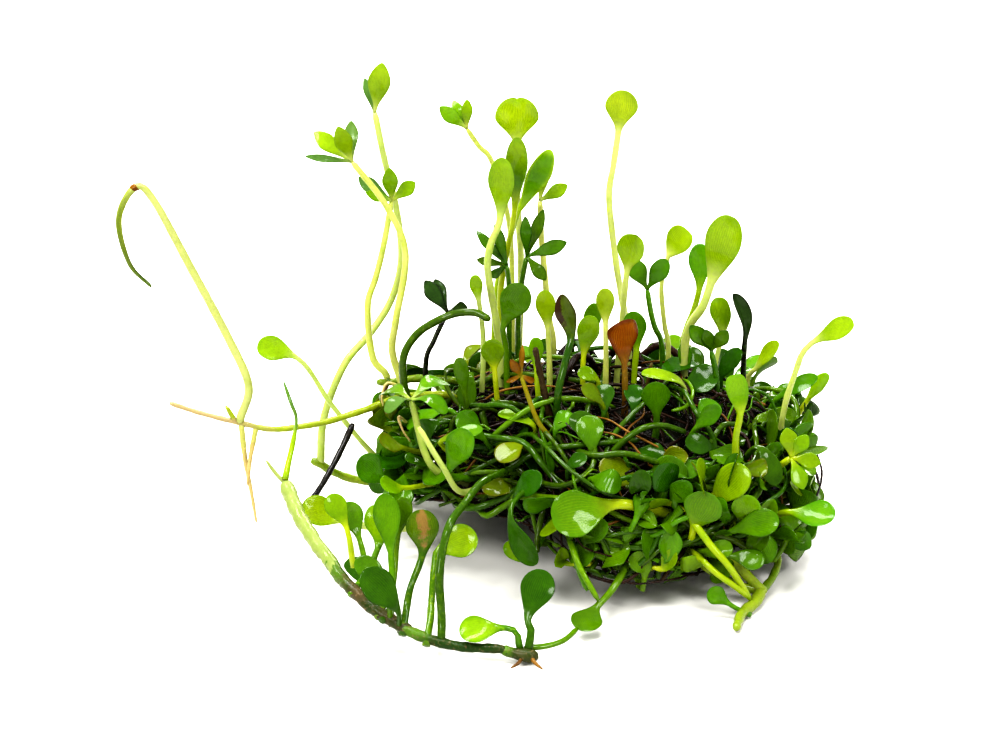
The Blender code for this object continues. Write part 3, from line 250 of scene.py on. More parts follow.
# Runners and crowns: slot, skin, and for each length its radii at start and end and its route.
STEMS = {
    "left_runner": ("runner", "runner", [
        (0.28, 0.5, [(-50.5, -3, 17.6), (-46.5, -3, 16.2), (-42, -3, 15), (-38, -3, 14.2),
                     (-32.5, -3, 15), (-28, -2, 16), (-22, 0.6, 17), (-14, 2, 16.5)]),
        (0.38, 0.16, [(-42, -3, 15), (-41.6, -3, 10), (-41, -3, 6), (-40.5, -3, 2)]),
        (0.35, 0.18, [(-40.2, -3, 14.6), (-41, -3.8, 10.5), (-41.3, -4.4, 7.5)]),
        (0.4, 0.2, [(-42.6, -3, 15), (-43.4, -3, 16.6), (-43.8, -3, 17.2)])]),
    "lower_left_runner": ("runner", "light runner", [
        (0.5, 0.55, [(-34.2, 6, 6.3), (-33, 6, 5.7), (-31.5, 6.5, 4.5), (-28.5, 7, 3.2),
                     (-24, 7, 2.8), (-18, 5, 3.5)])]),
    "left_crown": ("runner", "light runner", [
        (0.45, 0.55, [(-26, 6, 16.6), (-23.5, 5.8, 16.8), (-20.5, 5.8, 17.2), (-15, 6, 16.5),
                      (-10, 6, 14)]),
        (0.3, 0.14, [(-24.6, 5.8, 16.8), (-25.4, 6, 14.2), (-24.8, 6.4, 11.4)])]),
    "black_root_left": ("root", "black root", [
        (0.34, 0.4, [(-34.5, -8, 6), (-33, -7, 7.5), (-31.5, -5.4, 9.5), (-30, -3.8, 12),
                     (-28.6, -2.4, 14.7)])]),
    "arching_stem": ("dark_leaf", "stem", [
        (0.5, 0.45, [(-19, -1.6, 12), (-21.9, -1.4, 17), (-22.6, -1.2, 20.6), (-22.4, -1, 23.2),
                     (-21, -0.6, 25.4), (-19, -0.8, 27), (-16.5, -1.2, 28.3), (-14, -2, 28.8),
                     (-12.2, -2.8, 28.2)])]),
    "right_node": ("runner", "light runner", [
        (0.75, 0.5, [(19.5, -21.2, 1.6), (18.6, -23.5, 1), (17, -26, 0.9), (16, -30, 0.8)]),
        (0.6, 0.5, [(19.9, -21.6, 1.3), (15.8, -20.6, 5.2), (11.5, -17.5, 8.2), (10, -12, 9)]),
        (0.5, 0.45, [(19.6, -21.3, 1.2), (15.6, -21.6, 2.9), (12, -19.5, 4.6), (10, -14, 6)]),
        (0.5, 0.4, [(19.1, -21.9, 1.3), (21, -18.8, 2.2), (21.6, -15, 3.4), (19, -10, 5)]),
        (0.2, 0.14, [(19.3, -21.2, 1.7), (18.6, -18.6, 1.8), (17.6, -16.6, 3.2)])]),
    "front_crown": ("runner", "scaly runner", [
        (0.55, 0.85, [(-10.9, -36.9, 1.6), (-9.4, -37.2, 1.2), (-8, -37.6, 1.1),
                      (-6.8, -37.4, 0.95)]),
        (0.3, 0.12, [(-7.6, -37.6, 1.1), (-7, -38.8, 0.7), (-6.2, -39.6, 0.4)]),
        (0.28, 0.12, [(-8.4, -37.4, 1.1), (-8.9, -38.6, 0.7), (-9.8, -39.3, 0.4)])]),
    "front_runner_outer": ("young_leaf", "pale runner", [
        (0.9, 0.8, [(-36.3, -11.5, 10.9), (-35.2, -15, 9.7), (-34, -18, 8.7), (-32.2, -22, 7.7),
                    (-31, -24.2, 7.2)]),
        (0.3, 0.16, [(-36.2, -11.8, 10.9), (-37.4, -11.4, 12), (-38.6, -11, 13.6)])]),
    "front_runner_middle": ("runner", "scaly runner", [
        (0.8, 0.7, [(-30.75, -24.7, 7.05), (-29.4, -27.6, 6.4), (-28, -30, 5.9), (-25.4, -32.8, 4.7),
                    (-23.6, -34, 4)])]),
    "front_runner_inner": ("root", "scaly runner", [
        (0.68, 0.5, [(-23.05, -34.3, 3.75), (-21, -35.4, 3), (-18.5, -36.2, 2.3), (-15, -36.8, 1.8),
                     (-11.35, -36.9, 1.65)]),
        (0.5, 0.42, [(-17.6, -36.3, 2.4), (-17.6, -35.2, 5), (-17.8, -33.2, 9.6),
                      (-16.8, -31, 14), (-15, -27.5, 15.4), (-13.2, -22.5, 15.7),
                      (-11, -18, 15), (-10.3, -15.4, 14.1)])]),
}

# Small fronds seen in the photograph: kind, way the blade faces, blade, stalk radii and route.
SMALL_FRONDS = [
    ("young", FRONT, (2.8, 0.8, 0.2, 0), (0.35, 0.3), [(-13.5, 0.5, 12), (-13, 0.5, 24), (-14, -0.5, 33)]),
    ("lime", FRONT, (4.4, 1.35, 0.3, 0), (0.4, 0.3), [(-1, -3.6, 15), (-1.1, -3, 23), (-0.2, -3, 28.8)]),
    ("young", FRONT, (4.4, 1.2, 0.3, 0), (0.4, 0.3), [(-5, -3, 15), (-5.2, -4, 25), (-5.8, -5, 32.8)]),
    ("lime", FRONT, (3.4, 0.9, 0.2, 0), (0.4, 0.3), [(-6, -7, 15), (-6.6, -8, 22), (-6.8, -8, 28)]),
    ("lime", FRONT, (3.4, 1.4, 0.3, 0), (0.4, 0.3), [(-11, -6, 15), (-11.5, -7.6, 22), (-12, -8.6, 28)]),
    ("young", FRONT, (3.6, 1.1, 0.3, 0), (0.4, 0.3), [(1.4, -5, 15), (1.5, -6.2, 24), (1.3, -6, 33.4)]),
    ("mature", FRONT, (4.2, 1.75, 0.4, 0), (0.45, 0.4), [(6.5, -9, 12), (7.3, -12.4, 18), (7, -14.5, 25)]),
    ("young", UP, (5.2, 1.1, 0, 0.4), (0.4, 0.3), [
        (11, -5, 14), (11, -6.6, 20), (9.8, -7.8, 22.4), (5.6, -8.6, 23.6)]),
    ("mature", FRONT_UP, (3.6, 1.2, 0.3, 0), (0.4, 0.3), [
        (11, -9, 12), (11.4, -12.6, 17.6), (14.6, -14, 21.6)]),
    ("deep", FRONT_UP, (4.2, 1.5, 0.3, 0), (0.4, 0.3), [
        (2, -11, 12), (0.8, -14.4, 18.4), (-3, -15.6, 20.8)]),
    ("olive", FRONT_UP, (3, 1, 0.3, 0), (0.4, 0.3), [(2, -9, 14), (1.2, -11.4, 20.4), (-1.4, -12, 23.6)]),
    ("mature", FRONT_UP, (4, 1.6, 0.4, 0), (0.4, 0.3), [
        (-11, -9, 12), (-12.6, -12.4, 16.6), (-16, -13.6, 20.4)]),
    ("mature", FRONT, (4, 0.9, 0.2, 0), (0.4, 0.3), [(-14, -5, 12), (-15, -7.6, 19.6), (-15.8, -8.4, 25.6)]),
    ("grass", FRONT_UP, (5, 1.8, 0.4, 0), (0.45, 0.4), [
        (-12.6, -9.4, 10.5), (-16.6, -16.6, 14), (-16.6, -18.4, 16.4), (-14.6, -19, 20.8)]),
    ("fresh", UP, (4.8, 1.2, 0.3, 0), (0.4, 0.3), [(-12, -9, 11), (-18, -14, 17), (-13, -15.4, 19.4)]),
    ("olive", FRONT_UP, (4, 1.3, 0.3, 0), (0.4, 0.3), [
        (-13.6, -7, 11), (-21.8, -12.4, 15.6), (-25, -16.4, 18.4)]),
    ("lime", FRONT_UP, (3.8, 1.3, 0.3, 0), (0.4, 0.3), [
        (-13, -5.6, 10.4), (-20.8, -12.8, 11), (-24.8, -18, 13.4)]),
    ("dark stalked", FRONT_UP, (4.2, 1.5, 0.4, 0), (0.4, 0.3), [
        (-4.4, -11, 8), (-6.8, -20.6, 6.6), (-10.6, -23, 7.4)]),
    ("deep", FRONT_UP, (4, 1.5, 0.3, 0), (0.4, 0.3), [
        (-8.4, -12.6, 8), (-9.2, -18.4, 12.4), (-6.2, -20.3, 15.6)]),
    ("deep", FRONT_UP, (3.8, 1.4, 0.3, 0), (0.4, 0.3), [
        (12, -8, 10), (14.2, -12.6, 15.6), (10.6, -14.6, 17.4)]),
    ("lime", UP, (4, 1.2, 0.3, 0), (0.4, 0.3), [
        (19, 2, 7), (23.4, 1.6, 11.6), (26.4, 1.4, 16.6), (28.6, 1, 19.6)]),
    ("fresh", FRONT, (4, 1.1, 0.3, 0), (0.4, 0.3), [(0, 6, 14), (-0.4, 7, 21), (0.6, 7.4, 26.4)]),
    ("fresh", UP, (4, 1.3, 0.3, 0), (0.4, 0.3), [(8, 9, 12), (9, 11.6, 17), (11, 14.6, 19.4)]),
    ("fresh", UP, (4, 1.3, 0.3, 0), (0.4, 0.3), [(-6, 10, 12), (-7, 14.6, 15.6), (-9, 18, 16.4)]),
    ("fresh", UP, (4.2, 1.4, 0.3, 0), (0.4, 0.3), [(-14, 9, 9), (-17, 13, 12.6), (-20.4, 14.6, 14)]),
    ("mature", UP, (4.2, 1.4, 0.3, 0), (0.4, 0.3), [(3, 12, 6), (4, 18.4, 8.6), (5, 22, 10.4)]),
    ("mature", UP, (4.2, 1.4, 0.3, 0), (0.4, 0.3), [(16, 8, 6), (20.4, 11.6, 9.8), (23.4, 13.4, 12)]),
    ("dark stalked", FRONT_UP, (4.4, 1.7, 0.3, 0), (0.45, 0.35), [
        (-27.6, -30.3, 5.8), (-26, -27, 7), (-24.9, -23.6, 9), (-25.2, -21.6, 12.6)]),
    ("mature", FRONT, (3.6, 1.2, 0.3, 0), (0.4, 0.3), [
        (-24.6, -33.2, 4.4), (-23.2, -29, 6), (-22.8, -26.4, 10), (-21.9, -25.4, 15.2)]),
    ("grass", FRONT, (5.6, 1.6, 0.3, 0), (0.45, 0.35), [
        (-23.4, -33, 4.6), (-23.2, -31, 6.4), (-23.5, -29.2, 11.1), (-24.1, -27.7, 16.7)]),
    ("deep", UP, (5, 1.6, 0.3, 0), (0.45, 0.35), [
        (-24, -33.7, 4.2), (-22.9, -31.4, 5), (-24.2, -29.3, 5.4), (-28.6, -27, 8)]),
    ("grass", FRONT, (2.6, 1.15, 0.2, 0), (0.32, 0.28), [
        (17.2, -25.8, 0.9), (15.9, -26, 1.7), (13, -26.2, 3.9)]),
]

# Fronds on top of the mat: kind, way the blade faces, blade and route.
TOP_FRONDS = [
    ("deep", (0, -0.1, 1), (4.3, 2, 0.3, 0), [(12.4, 0, 18), (12.6, -1, 21.6), (8.3, -1, 21.2)]),
    ("deep", (0, -0.6, 0.8), (4.6, 1.9, 0.35, 0), [(10.4, -5.5, 17.5), (10.9, -4.2, 19.6), (14.9, -4, 22)]),
    ("deep", (-0.1, -0.7, 0.7), (3.4, 1.3, 0.35, 0), [
        (0.9, -11, 17.5), (1.2, -11.5, 20.2), (1.2, -9, 22.5)]),
    ("deep", (0, -0.7, 0.7), (3.2, 1.2, 0.35, 0), [(4.4, -10, 17.3), (4.7, -10.9, 20.2), (4.7, -8.4, 22.2)]),
    ("mature", (0.1, -0.7, 0.7), (3.6, 1.5, 0.35, 0), [
        (12.1, -10, 15.6), (12.4, -10.9, 18.4), (14.5, -8.4, 20)]),
    ("grass", (0, -1, 0.2), (3.6, 0.85, 0.35, 0), [(11.2, 0, 18), (11.2, -1, 21.6), (10.9, -1, 24.6)]),
    ("deep", (-0.3, -0.9, 0.3), (4.3, 1.1, 0.35, 0), [
        (15.7, 1.5, 16.7), (15.7, 0.5, 20), (17.8, 0.5, 23.2)]),
    ("mature", (-0.2, -0.9, 0.3), (4.6, 1.2, 0.35, 0), [
        (-14.6, 0, 16), (-14.6, -1, 20.6), (-15.1, -2, 16.4)]),
    ("lime", (0, -0.25, 1), (4.4, 1.2, 0.35, 0), [
        (-6.9, -9.9, 15.3), (-7.2, -11.7, 18.5), (-11.2, -9.8, 19.2)]),
    ("lime", (0, -0.6, 0.8), (2.5, 1, 0.35, 0), [(0.8, -4.9, 18.8), (0.5, -5, 21.4), (-1.8, -5, 22.4)]),
    ("mature", (0, -0.9, 0.4), (4.1, 1.7, 0.35, 0), [
        (-0.6, -16, 15.1), (-0.3, -17.4, 17.6), (-0.8, -14.9, 21)]),
    ("grass", (0, -0.6, 0.8), (2.9, 1.1, 0.35, 0), [
        (-4.1, -12.9, 15.8), (-4.5, -14, 18.8), (-2.6, -12.5, 20.3)]),
    ("olive", (0, -0.6, 0.8), (3.8, 1.3, 0.35, 0), [
        (-9.1, -12.3, 8.6), (-9.4, -15.1, 11.6), (-13.1, -15, 11.8)]),
    ("grass", (0, -0.7, 0.7), (3.5, 1.1, 0.35, 0), [
        (-7.4, -13.3, 8.8), (-7.7, -15.9, 11.9), (-6.2, -17.5, 14.7)]),
    ("deep", (0.3, -0.5, 0.8), (2.6, 0.9, 0.35, 0), [
        (-2.8, -17.5, 13), (-3.1, -19.4, 16.2), (-1, -19.2, 17.7)]),
]

# Blades over the front runner and in front of the mat, in the same form.
RUNNER_FRONDS = [
    ("deep", (-0.1, -0.6, 0.8), (6, 2.1, 0.3, 0.1), [
        (-22.4, -34.9, 3.4), (-22.7, -36.4, 6.6), (-26.4, -36.6, 11.1)]),
    ("mature", (0.1, -0.5, 0.85), (4.6, 1.6, 0.3, 0), [
        (-23.4, -34.2, 4), (-23.8, -35.2, 8.4), (-27.2, -34.6, 11.7)]),
    ("grass", (0.2, -0.7, 0.7), (3.8, 1.4, 0.3, 0), [
        (-26.2, -31.5, 9.4), (-26.9, -30.5, 12.2), (-28.4, -29, 16.2)]),
    ("lime", (-0.3, -0.6, 0.8), (3.6, 1.3, 0.3, 0), [
        (-27.7, -32, 10.4), (-28.3, -31.5, 14.1), (-30.2, -30, 17.6)]),
    ("deep", (-0.4, -0.9, 0.25), (6, 1.5, 0.3, 0.15), [
        (-7.5, -18.5, 13.3), (-9.4, -21.5, 12.9), (-9.6, -23.8, 11.1), (-6.9, -25.5, 6.7)]),
]

# Leafless stalks fused to the mat: kind, radius at start, at end, and route.
STALKS = [
    ("mature", 0.45, 0.4, [(-3.4, -15, 8), (-2.8, -22.4, 8.4), (-1.9, -25.4, 6.2), (-0.9, -27, 4.2)]),
    ("young", 0.4, 0.32, [
        (-12.4, -10.6, 10.5), (-15.6, -16.6, 12), (-17.6, -18.6, 16), (-20.4, -17.6, 20.6)]),
]

# Stems that lie across the mat: kind, radius and route.
CROSSING_STEMS = [
    ("stem", 0.42, [
        (-11, -18, 15), (-10.3, -15.4, 14.1), (-7, -14.5, 16), (-3.5, -16.8, 17.8), (5.3, -15.2, 18)]),
    ("stem", 0.4, [
        (-10.4, -13.4, 15.3), (-7.5, -15.5, 13.3), (-3.8, -20.3, 14.4), (-0.6, -19.9, 16.2),
        (0.1, -17.4, 17.9)]),
    ("grass", 0.25, [
        (9.2, -10.2, 19.6), (10.9, -9, 19.6), (11.8, -6.7, 20.3), (11.5, -4.3, 20.7), (10.8, -3.3, 20.8)]),
    ("stem", 0.4, [(2, -4, 24), (1, -4.5, 20.6), (-0.4, -9.1, 20.5), (-1, -13.3, 19.7)]),
    ("grass", 0.4, [
        (-3.4, -19, 9), (-2.7, -24.5, 8.4), (-1.8, -26.5, 6.8), (-0.7, -27.6, 5.1), (0.3, -28, 3.4)]),
    ("mature", 0.35, [(-4.8, -0.1, 20), (-5.7, -7.7, 19.9), (-6.2, -11.9, 18.5), (-5.5, -15.5, 16.8)]),
]

# Stalks that run together at the lower right, and the one to the front round leaf, likewise.
NODE_STALKS = [
    ("fresh", 0.46, [
        (9.8, -17, 10.4), (11.4, -23, 10.8), (13.2, -25, 9), (15.5, -25.2, 6.2), (18, -24, 1.6)]),
    ("fresh", 0.4, [
        (10.3, -18, 5.8), (12.1, -24, 6.9), (13.6, -25.4, 5.9), (15.9, -25.4, 4.1), (18, -24, 1.8)]),
    ("mature", 0.36, [(-8.3, -36.6, 1.6), (-5.9, -36.2, 1.6), (-3.7, -34.6, 1.6), (-2.2, -32.6, 2.1)]),
]

# Thick root strands that arch over the mat: start, height of the arch, end.
STRANDS = [
    ((-6, 4), 21.5, (2, 10)), ((4, 13), 19.5, (14, 9)), ((-5, -4), 22.5, (2, 4)),
    ((5, -3), 21.5, (14, -7)), ((-17, -6), 18.5, (-8, -7)), ((-2, 3), 21.5, (-5, -7)),
    ((1, 11), 21.0, (8, 5)),
]

# Golden roots that hang at the left: route.
HANGING_ROOTS = [
    [(-22.5, -2, 19), (-24.4, -3.0, 20.2), (-25.1, -3.2, 18.4), (-24.6, -3.6, 16.4)],
    [(-22, -10, 18), (-22.9, -12, 19.6), (-22.3, -12.5, 17.9), (-21.5, -12, 16.4)],
]

# Dead stubs that stand up out of the mat: radius at foot and head, and route.
STUBS = [
    (0.42, 0.34, [(-4.6, -11, 17), (-6.0, -10.5, 23.0), (-6.9, -10, 27.5)]),
    (0.26, 0.2, [(2.2, 1, 18), (2.0, 0.5, 21.0), (1.6, 0, 23.4)]),
    (0.24, 0.16, [(4.4, 2, 18), (5.0, 2, 21.0), (5.3, 2, 23.6)]),
    (0.3, 0.2, [(6.8, -6, 18), (6.4, -6.5, 21.0), (6.9, -6.6, 24.2)]),
    (0.42, 0.2, [(12.4, -17, 7.5), (9.5, -21.5, 5.6), (7.6, -22.5, 3.2)]),
]

# Where stalks enter the runner that they stand on
FEET = {"spotted_frond": [(-21.9, -35.0, 3.3)], "glossy_round_frond": [(-19.2, -36.0, 2.5)],
        "mid_left_clover": [(-24.6, 6.0, 16.7)], "tall_left_pair": [(-32.9, 6.0, 5.8)]}

# Leaflets that show their dull underside
UNDERSIDES = {"tall_left_pair": (1,), "top_left_clover": (1, 3), "folded_left_frond": (1,),
              "mid_left_clover": (2,)}

# Lengths of a runner that are roots or a green stem, their skin and their slot
SIDE_GROWTH = {"left_runner": ((1, 2), "hanging root", "root"), "left_crown": ((1,), "golden root", "root"),
               "front_crown": ((1, 2), "golden root", "root"), "right_node": ((4,), "golden root", "root"),
               "front_runner_inner": ((1,), "stem", "dark_leaf")}

# Runners whose next length carries straight on from their end
NEXT_LENGTH = {"front_runner_outer": "front_runner_middle", "front_runner_middle": "front_runner_inner",
               "front_runner_inner": "front_crown"}

# Paths


def spline_through(points):
    """Smooth curve through the points, each stretch a cubic set by its four nearest points."""
    given = np.array(points, dtype=float)
    padded = np.concatenate([2 * given[:1] - given[1:2], given, 2 * given[-1:] - given[-2:-1]])
    p0, p1, p2, p3 = (padded[k:len(padded) - 3 + k, None, :] for k in range(4))
    t = np.arange(SPLINE_STEPS)[None, :, None] / SPLINE_STEPS
    curve = 0.5 * (2 * p1 + (p2 - p0) * t + (2 * p0 - 5 * p1 + 4 * p2 - p3) * t ** 2
                   + (3 * p1 - p0 - 3 * p2 + p3) * t ** 3)
    return np.concatenate([curve.reshape(-1, 3), given[-1:]])


def lengths_along(curve):
    """Length run from the curve's start to each of its points."""
    steps = np.linalg.norm(np.diff(curve, axis=0), axis=1)
    return np.concatenate([[0.0], np.cumsum(steps)])


def stations_at(curve, where):
    """Places on the curve at the lengths in where."""
    run = lengths_along(curve)
    return np.stack([np.interp(where, run, curve[:, axis]) for axis in range(3)], axis=1)


def between(ends, share):
    return ends[0] + (ends[1] - ends[0]) * share


def unit(vectors):
    return vectors / np.maximum(np.linalg.norm(vectors, axis=-1, keepdims=True), 1e-9)


def frames_at(curve, where, face):
    """Point, side, upper and forward direction of each section, with the blade's end facing face."""
    points = stations_at(curve, where)
    along = unit(stations_at(curve, where + NEARBY) - stations_at(curve, where - NEARBY))
    # Sideways is taken level with the face at a section near the tip, and kept square to the path
    level = np.cross(along[-4], np.array(face, dtype=float))
    side = unit(level - (along @ level)[:, None] * along)
    return points, side, np.cross(side, along), along


# Shapes


def surface(rings, grow):
    """Closed skin over a grid of rings: quads between rings, a fan to a point at each end.

    rings is (stations, around, 3). grow is (stations, around, 3): place across, place along the
    blade, and shade, which the materials read.
    """
    count, around = rings.shape[:2]
    ends = np.stack([rings[0].mean(axis=0), rings[-1].mean(axis=0)])
    end_grow = np.stack([grow[0].mean(axis=0), grow[-1].mean(axis=0)])
    corners = np.concatenate([rings.reshape(-1, 3), ends])
    values = np.concatenate([grow.reshape(-1, 3), end_grow])
    low = np.arange(count - 1)[:, None] * around + np.arange(around)[None, :]
    turn = np.arange(count - 1)[:, None] * around + (np.arange(around)[None, :] + 1) % around
    quads = np.stack([low, low + around, turn + around, turn], axis=-1).reshape(-1, 4)
    first = np.arange(around)
    after = (first + 1) % around
    foot = np.stack([first, after, np.full(around, count * around)], axis=-1)
    last = (count - 1) * around
    head = np.stack([after + last, first + last, np.full(around, count * around + 1)], axis=-1)
    return corners, quads, np.concatenate([foot, head]), values


def sweep(curve, where, face, widths, thicknesses, around, blade_at, shade, cup, fold=0.0,
          ripple=0.0, notch=0.0, curl=0.0):
    """Oval sections carried along the curve.

    A section's edge lifts by cup times the square of the place across and by fold times the
    place across. ripple waves the edges along the blade, notch draws the middle of the tip back,
    and curl bends the section into a trough that closes towards its tip.
    """
    points, side, upper, along = frames_at(curve, where, face)
    turn = np.arange(around) * 2 * np.pi / around
    across = np.cos(turn)[None, :] * np.ones((len(where), 1))
    sideways = across * widths[:, None]
    widest = widths.max()
    lift = thicknesses[:, None] * np.sin(turn)[None, :]
    up = blade_at[:, None]
    squared = (sideways / widest) ** 2
    flat = np.clip(blade_at * 4, 0, 1)[:, None]
    bent = cup * squared + fold * np.abs(sideways)
    waves = ripple * widest * squared * np.sin(9 * up + 5 * shade + 2.5 * across)
    closing = curl * squared * np.clip(blade_at * 1.5 - 0.4, 0, 1)[:, None]
    lift = lift + flat * (bent + waves + closing)
    sideways = sideways * (1 - 0.25 * flat * min(abs(fold), 1.0))
    pull = notch * np.exp(-(across / 0.35) ** 2) * np.clip((up - 0.45) / 0.55, 0, 1) ** 2
    rings = (points[:, None] + sideways[..., None] * side[:, None] + lift[..., None] * upper[:, None]
             - pull[..., None] * along[:, None])
    grow = np.stack([across, up * np.ones_like(across), np.full_like(across, shade)], axis=-1)
    return surface(rings, grow)


def blade_half_width(u, start, widest, point, full, wedge=0.0):
    """Widens to the widest place, then closes to the tip.

    point is 2 for a round tip and less for a pointed one, full how square the shoulders are, and
    wedge 0 for a blade that widens in a smooth step and 1 for one that widens evenly.
    """
    even = np.clip(u / WIDEST, 0, 1)
    smooth = (even ** 1.15) ** 2 * (3 - 2 * even ** 1.15)
    rise = smooth + (np.sin(even * np.pi / 2) - smooth) * wedge
    fall = np.clip((u - WIDEST) / (1 - WIDEST), 0, 1)
    return (start + (widest - start) * rise) * (1 - fall ** point) ** full


def blade_half_thickness(u, start):
    """As thick as the stalk at first, soon thin, and rounded off at the very tip."""
    return (start + (THIN - start) * np.clip(u / 0.4, 0, 1) ** 0.7) * np.sqrt(1 - u ** 8)


def blade_places(rows, crowding):
    """Shares of a blade's length for its sections, closer together towards the tip."""
    return np.append(1 - (1 - np.linspace(0, 1, rows)[:-1]) ** crowding, LAST_SECTION)


def frond_shape(route, face, blade, radii, shade, around=20, fine=1.0, blade_rows=26, point=2.0,
                full=0.5, wedge=0.0, **look):
    """Stalk and blade in one skin: round where the stalk is, flat and wide in the blade.

    The stalk swells and narrows a little along its way, by two sines of its length.
    """
    curve = spline_through(rooted(route))
    blade_length, half_width, cup, fold = blade
    total = lengths_along(curve)[-1]
    stalk_length = max(total - blade_length * BLADE_RUN, 0.4)
    rows = max(int(stalk_length / fine), 4)
    stalk_at = np.linspace(0, stalk_length, rows + 1)[:-1]
    u = blade_places(blade_rows, 1.7)
    where = np.concatenate([stalk_at, stalk_length + u * (total - stalk_length)])
    part = stalk_at / stalk_length
    swell = 1 + 0.05 * np.sin(stalk_at * 1.3 + shade * 9) + 0.03 * np.sin(stalk_at * 3.1)
    stalk_radius = (radii[0] + (radii[1] - radii[0]) * part) * swell
    blade_width = blade_half_width(u, radii[1], half_width, point, full, wedge)
    widths = np.concatenate([stalk_radius, blade_width])
    thicknesses = np.concatenate([stalk_radius, blade_half_thickness(u, radii[1])])
    blade_at = np.concatenate([part * 0, u])
    return sweep(curve, where, face, widths, thicknesses, around, blade_at, shade, cup=cup, fold=fold,
                 **look)


def rooted(route):
    """The route begun a little further back, so that its foot sits in what it grows from."""
    points = np.array(route, dtype=float)
    back = points[0] - points[1]
    return np.concatenate([points[:1] + back * ROOT_DEPTH / np.linalg.norm(back), points])


def leaflet_shape(hub, tip, half_width, face, shade, arch=0.07, point=1.5, full=0.7, **look):
    """Wedge-shaped leaflet from the hub, arched along its middle by a share of its length."""
    hub = np.array(hub, dtype=float)
    tip = np.array(tip, dtype=float)
    rise = np.array(face, dtype=float) * arch * np.linalg.norm(tip - hub)
    curve = spline_through([hub, (hub + tip) / 2 + rise, tip])
    u = blade_places(18, 1.6)
    widths = blade_half_width(u, LEAFLET_FOOT, half_width * 1.15, point, full)
    return sweep(curve, u * lengths_along(curve)[-1], face, widths, blade_half_thickness(u, LEAFLET_FOOT),
                 14, u, shade, cup=0.2, **look)


def stem_shape(route, start_radius, end_radius, shade=0.5, around=12, fine=0.7, rough=0.0,
               blade_from=0.0, taper=1.0):
    """Round stem, its skin lumpy by rough times a sum of sines.

    It tapers as the share of its length to the power taper. The place along counts from
    blade_from, as a share of the length, to 1 at the tip.
    """
    curve = spline_through(route)
    total = lengths_along(curve)[-1]
    where = np.linspace(0, total, max(int(total / fine), 6) + 1)
    part = where / total
    radii = start_radius + (end_radius - start_radius) * part ** taper
    radii = radii * np.clip(np.minimum(where, total - where) / (1.2 * radii) + 0.35, 0, 1) ** 0.5
    points, side, upper, _ = frames_at(curve, where, (0.31, -0.2, 0.93))
    turn = np.arange(around) * 2 * np.pi / around
    far = where[:, None]
    lumps = (np.sin(2.3 * far + 2 * turn + shade * 20) + 0.7 * np.sin(5.1 * far - 3 * turn)
             + 0.5 * np.sin(1.1 * far + turn + shade * 7))
    reach = radii[:, None] * (1 + rough * lumps)
    rings = (points[:, None] + (np.cos(turn) * reach)[..., None] * side[:, None]
             + (np.sin(turn) * reach)[..., None] * upper[:, None])
    every = np.ones_like(reach)
    up = np.clip((part - blade_from) / (1.001 - blade_from), 0, 1)[:, None]
    return surface(rings, np.stack([np.cos(turn) * every, up * every, shade * every], axis=-1))


def near_turn(turn, centre, spread):
    """1 in the direction centre, falling to 0 either side of it over about spread radians."""
    off = (turn - centre + np.pi) % (2 * np.pi) - np.pi
    return np.exp(-(off / spread) ** 2)


def mat_point(direction, lift=0.0):
    """Place on the root mat in a direction, moved out along its slope by lift.

    The mat is a lumpy bun with a flat foot and a hollow at its front left, and its left side is
    lifted clear of the ground. direction is (..., 3) of length one.
    """
    x, y, z = direction[..., 0], direction[..., 1], direction[..., 2]
    turn = np.arctan2(y, x)
    drawn_in, *hollow_side = MAT_HOLLOW
    raised, *lifted_side = MAT_LIFT
    out = 1 - drawn_in * near_turn(turn, *hollow_side)
    for size, count, begin, lean in MAT_LUMPS:
        out = out + size * np.sin(count * turn + begin + lean * z)
    lifted = near_turn(turn, *lifted_side)
    rim = MAT_RIM + raised * lifted
    swell, sideways, deep = MAT_SWELLS
    bulge = np.maximum(z, 0) ** MAT_BULGE * (1 + swell * np.sin(sideways * x) * np.cos(deep * y))
    foot = between(MAT_FOOT, lifted)
    past_foot = np.maximum((np.hypot(x, y) - foot) / (1 - foot), 0)
    under_rim = rim * past_foot ** between(MAT_FOOT_CURVE, lifted)
    height = np.where(z >= 0, rim + (MAT_HEIGHT - rim) * bulge, under_rim)
    place = np.stack([MAT_CENTRE[0] + MAT_HALF[0] * x * out, MAT_CENTRE[1] + MAT_HALF[1] * y * out,
                      height], axis=-1)
    return place + np.asarray(lift)[..., None] * mat_slope(direction)


def mat_slope(direction):
    """Way out of the bun, from the slope of a plain dome of nearly the same size."""
    return unit(direction / np.array([MAT_HALF[0], MAT_HALF[1], MAT_HEIGHT * 0.9]))


# Pieces


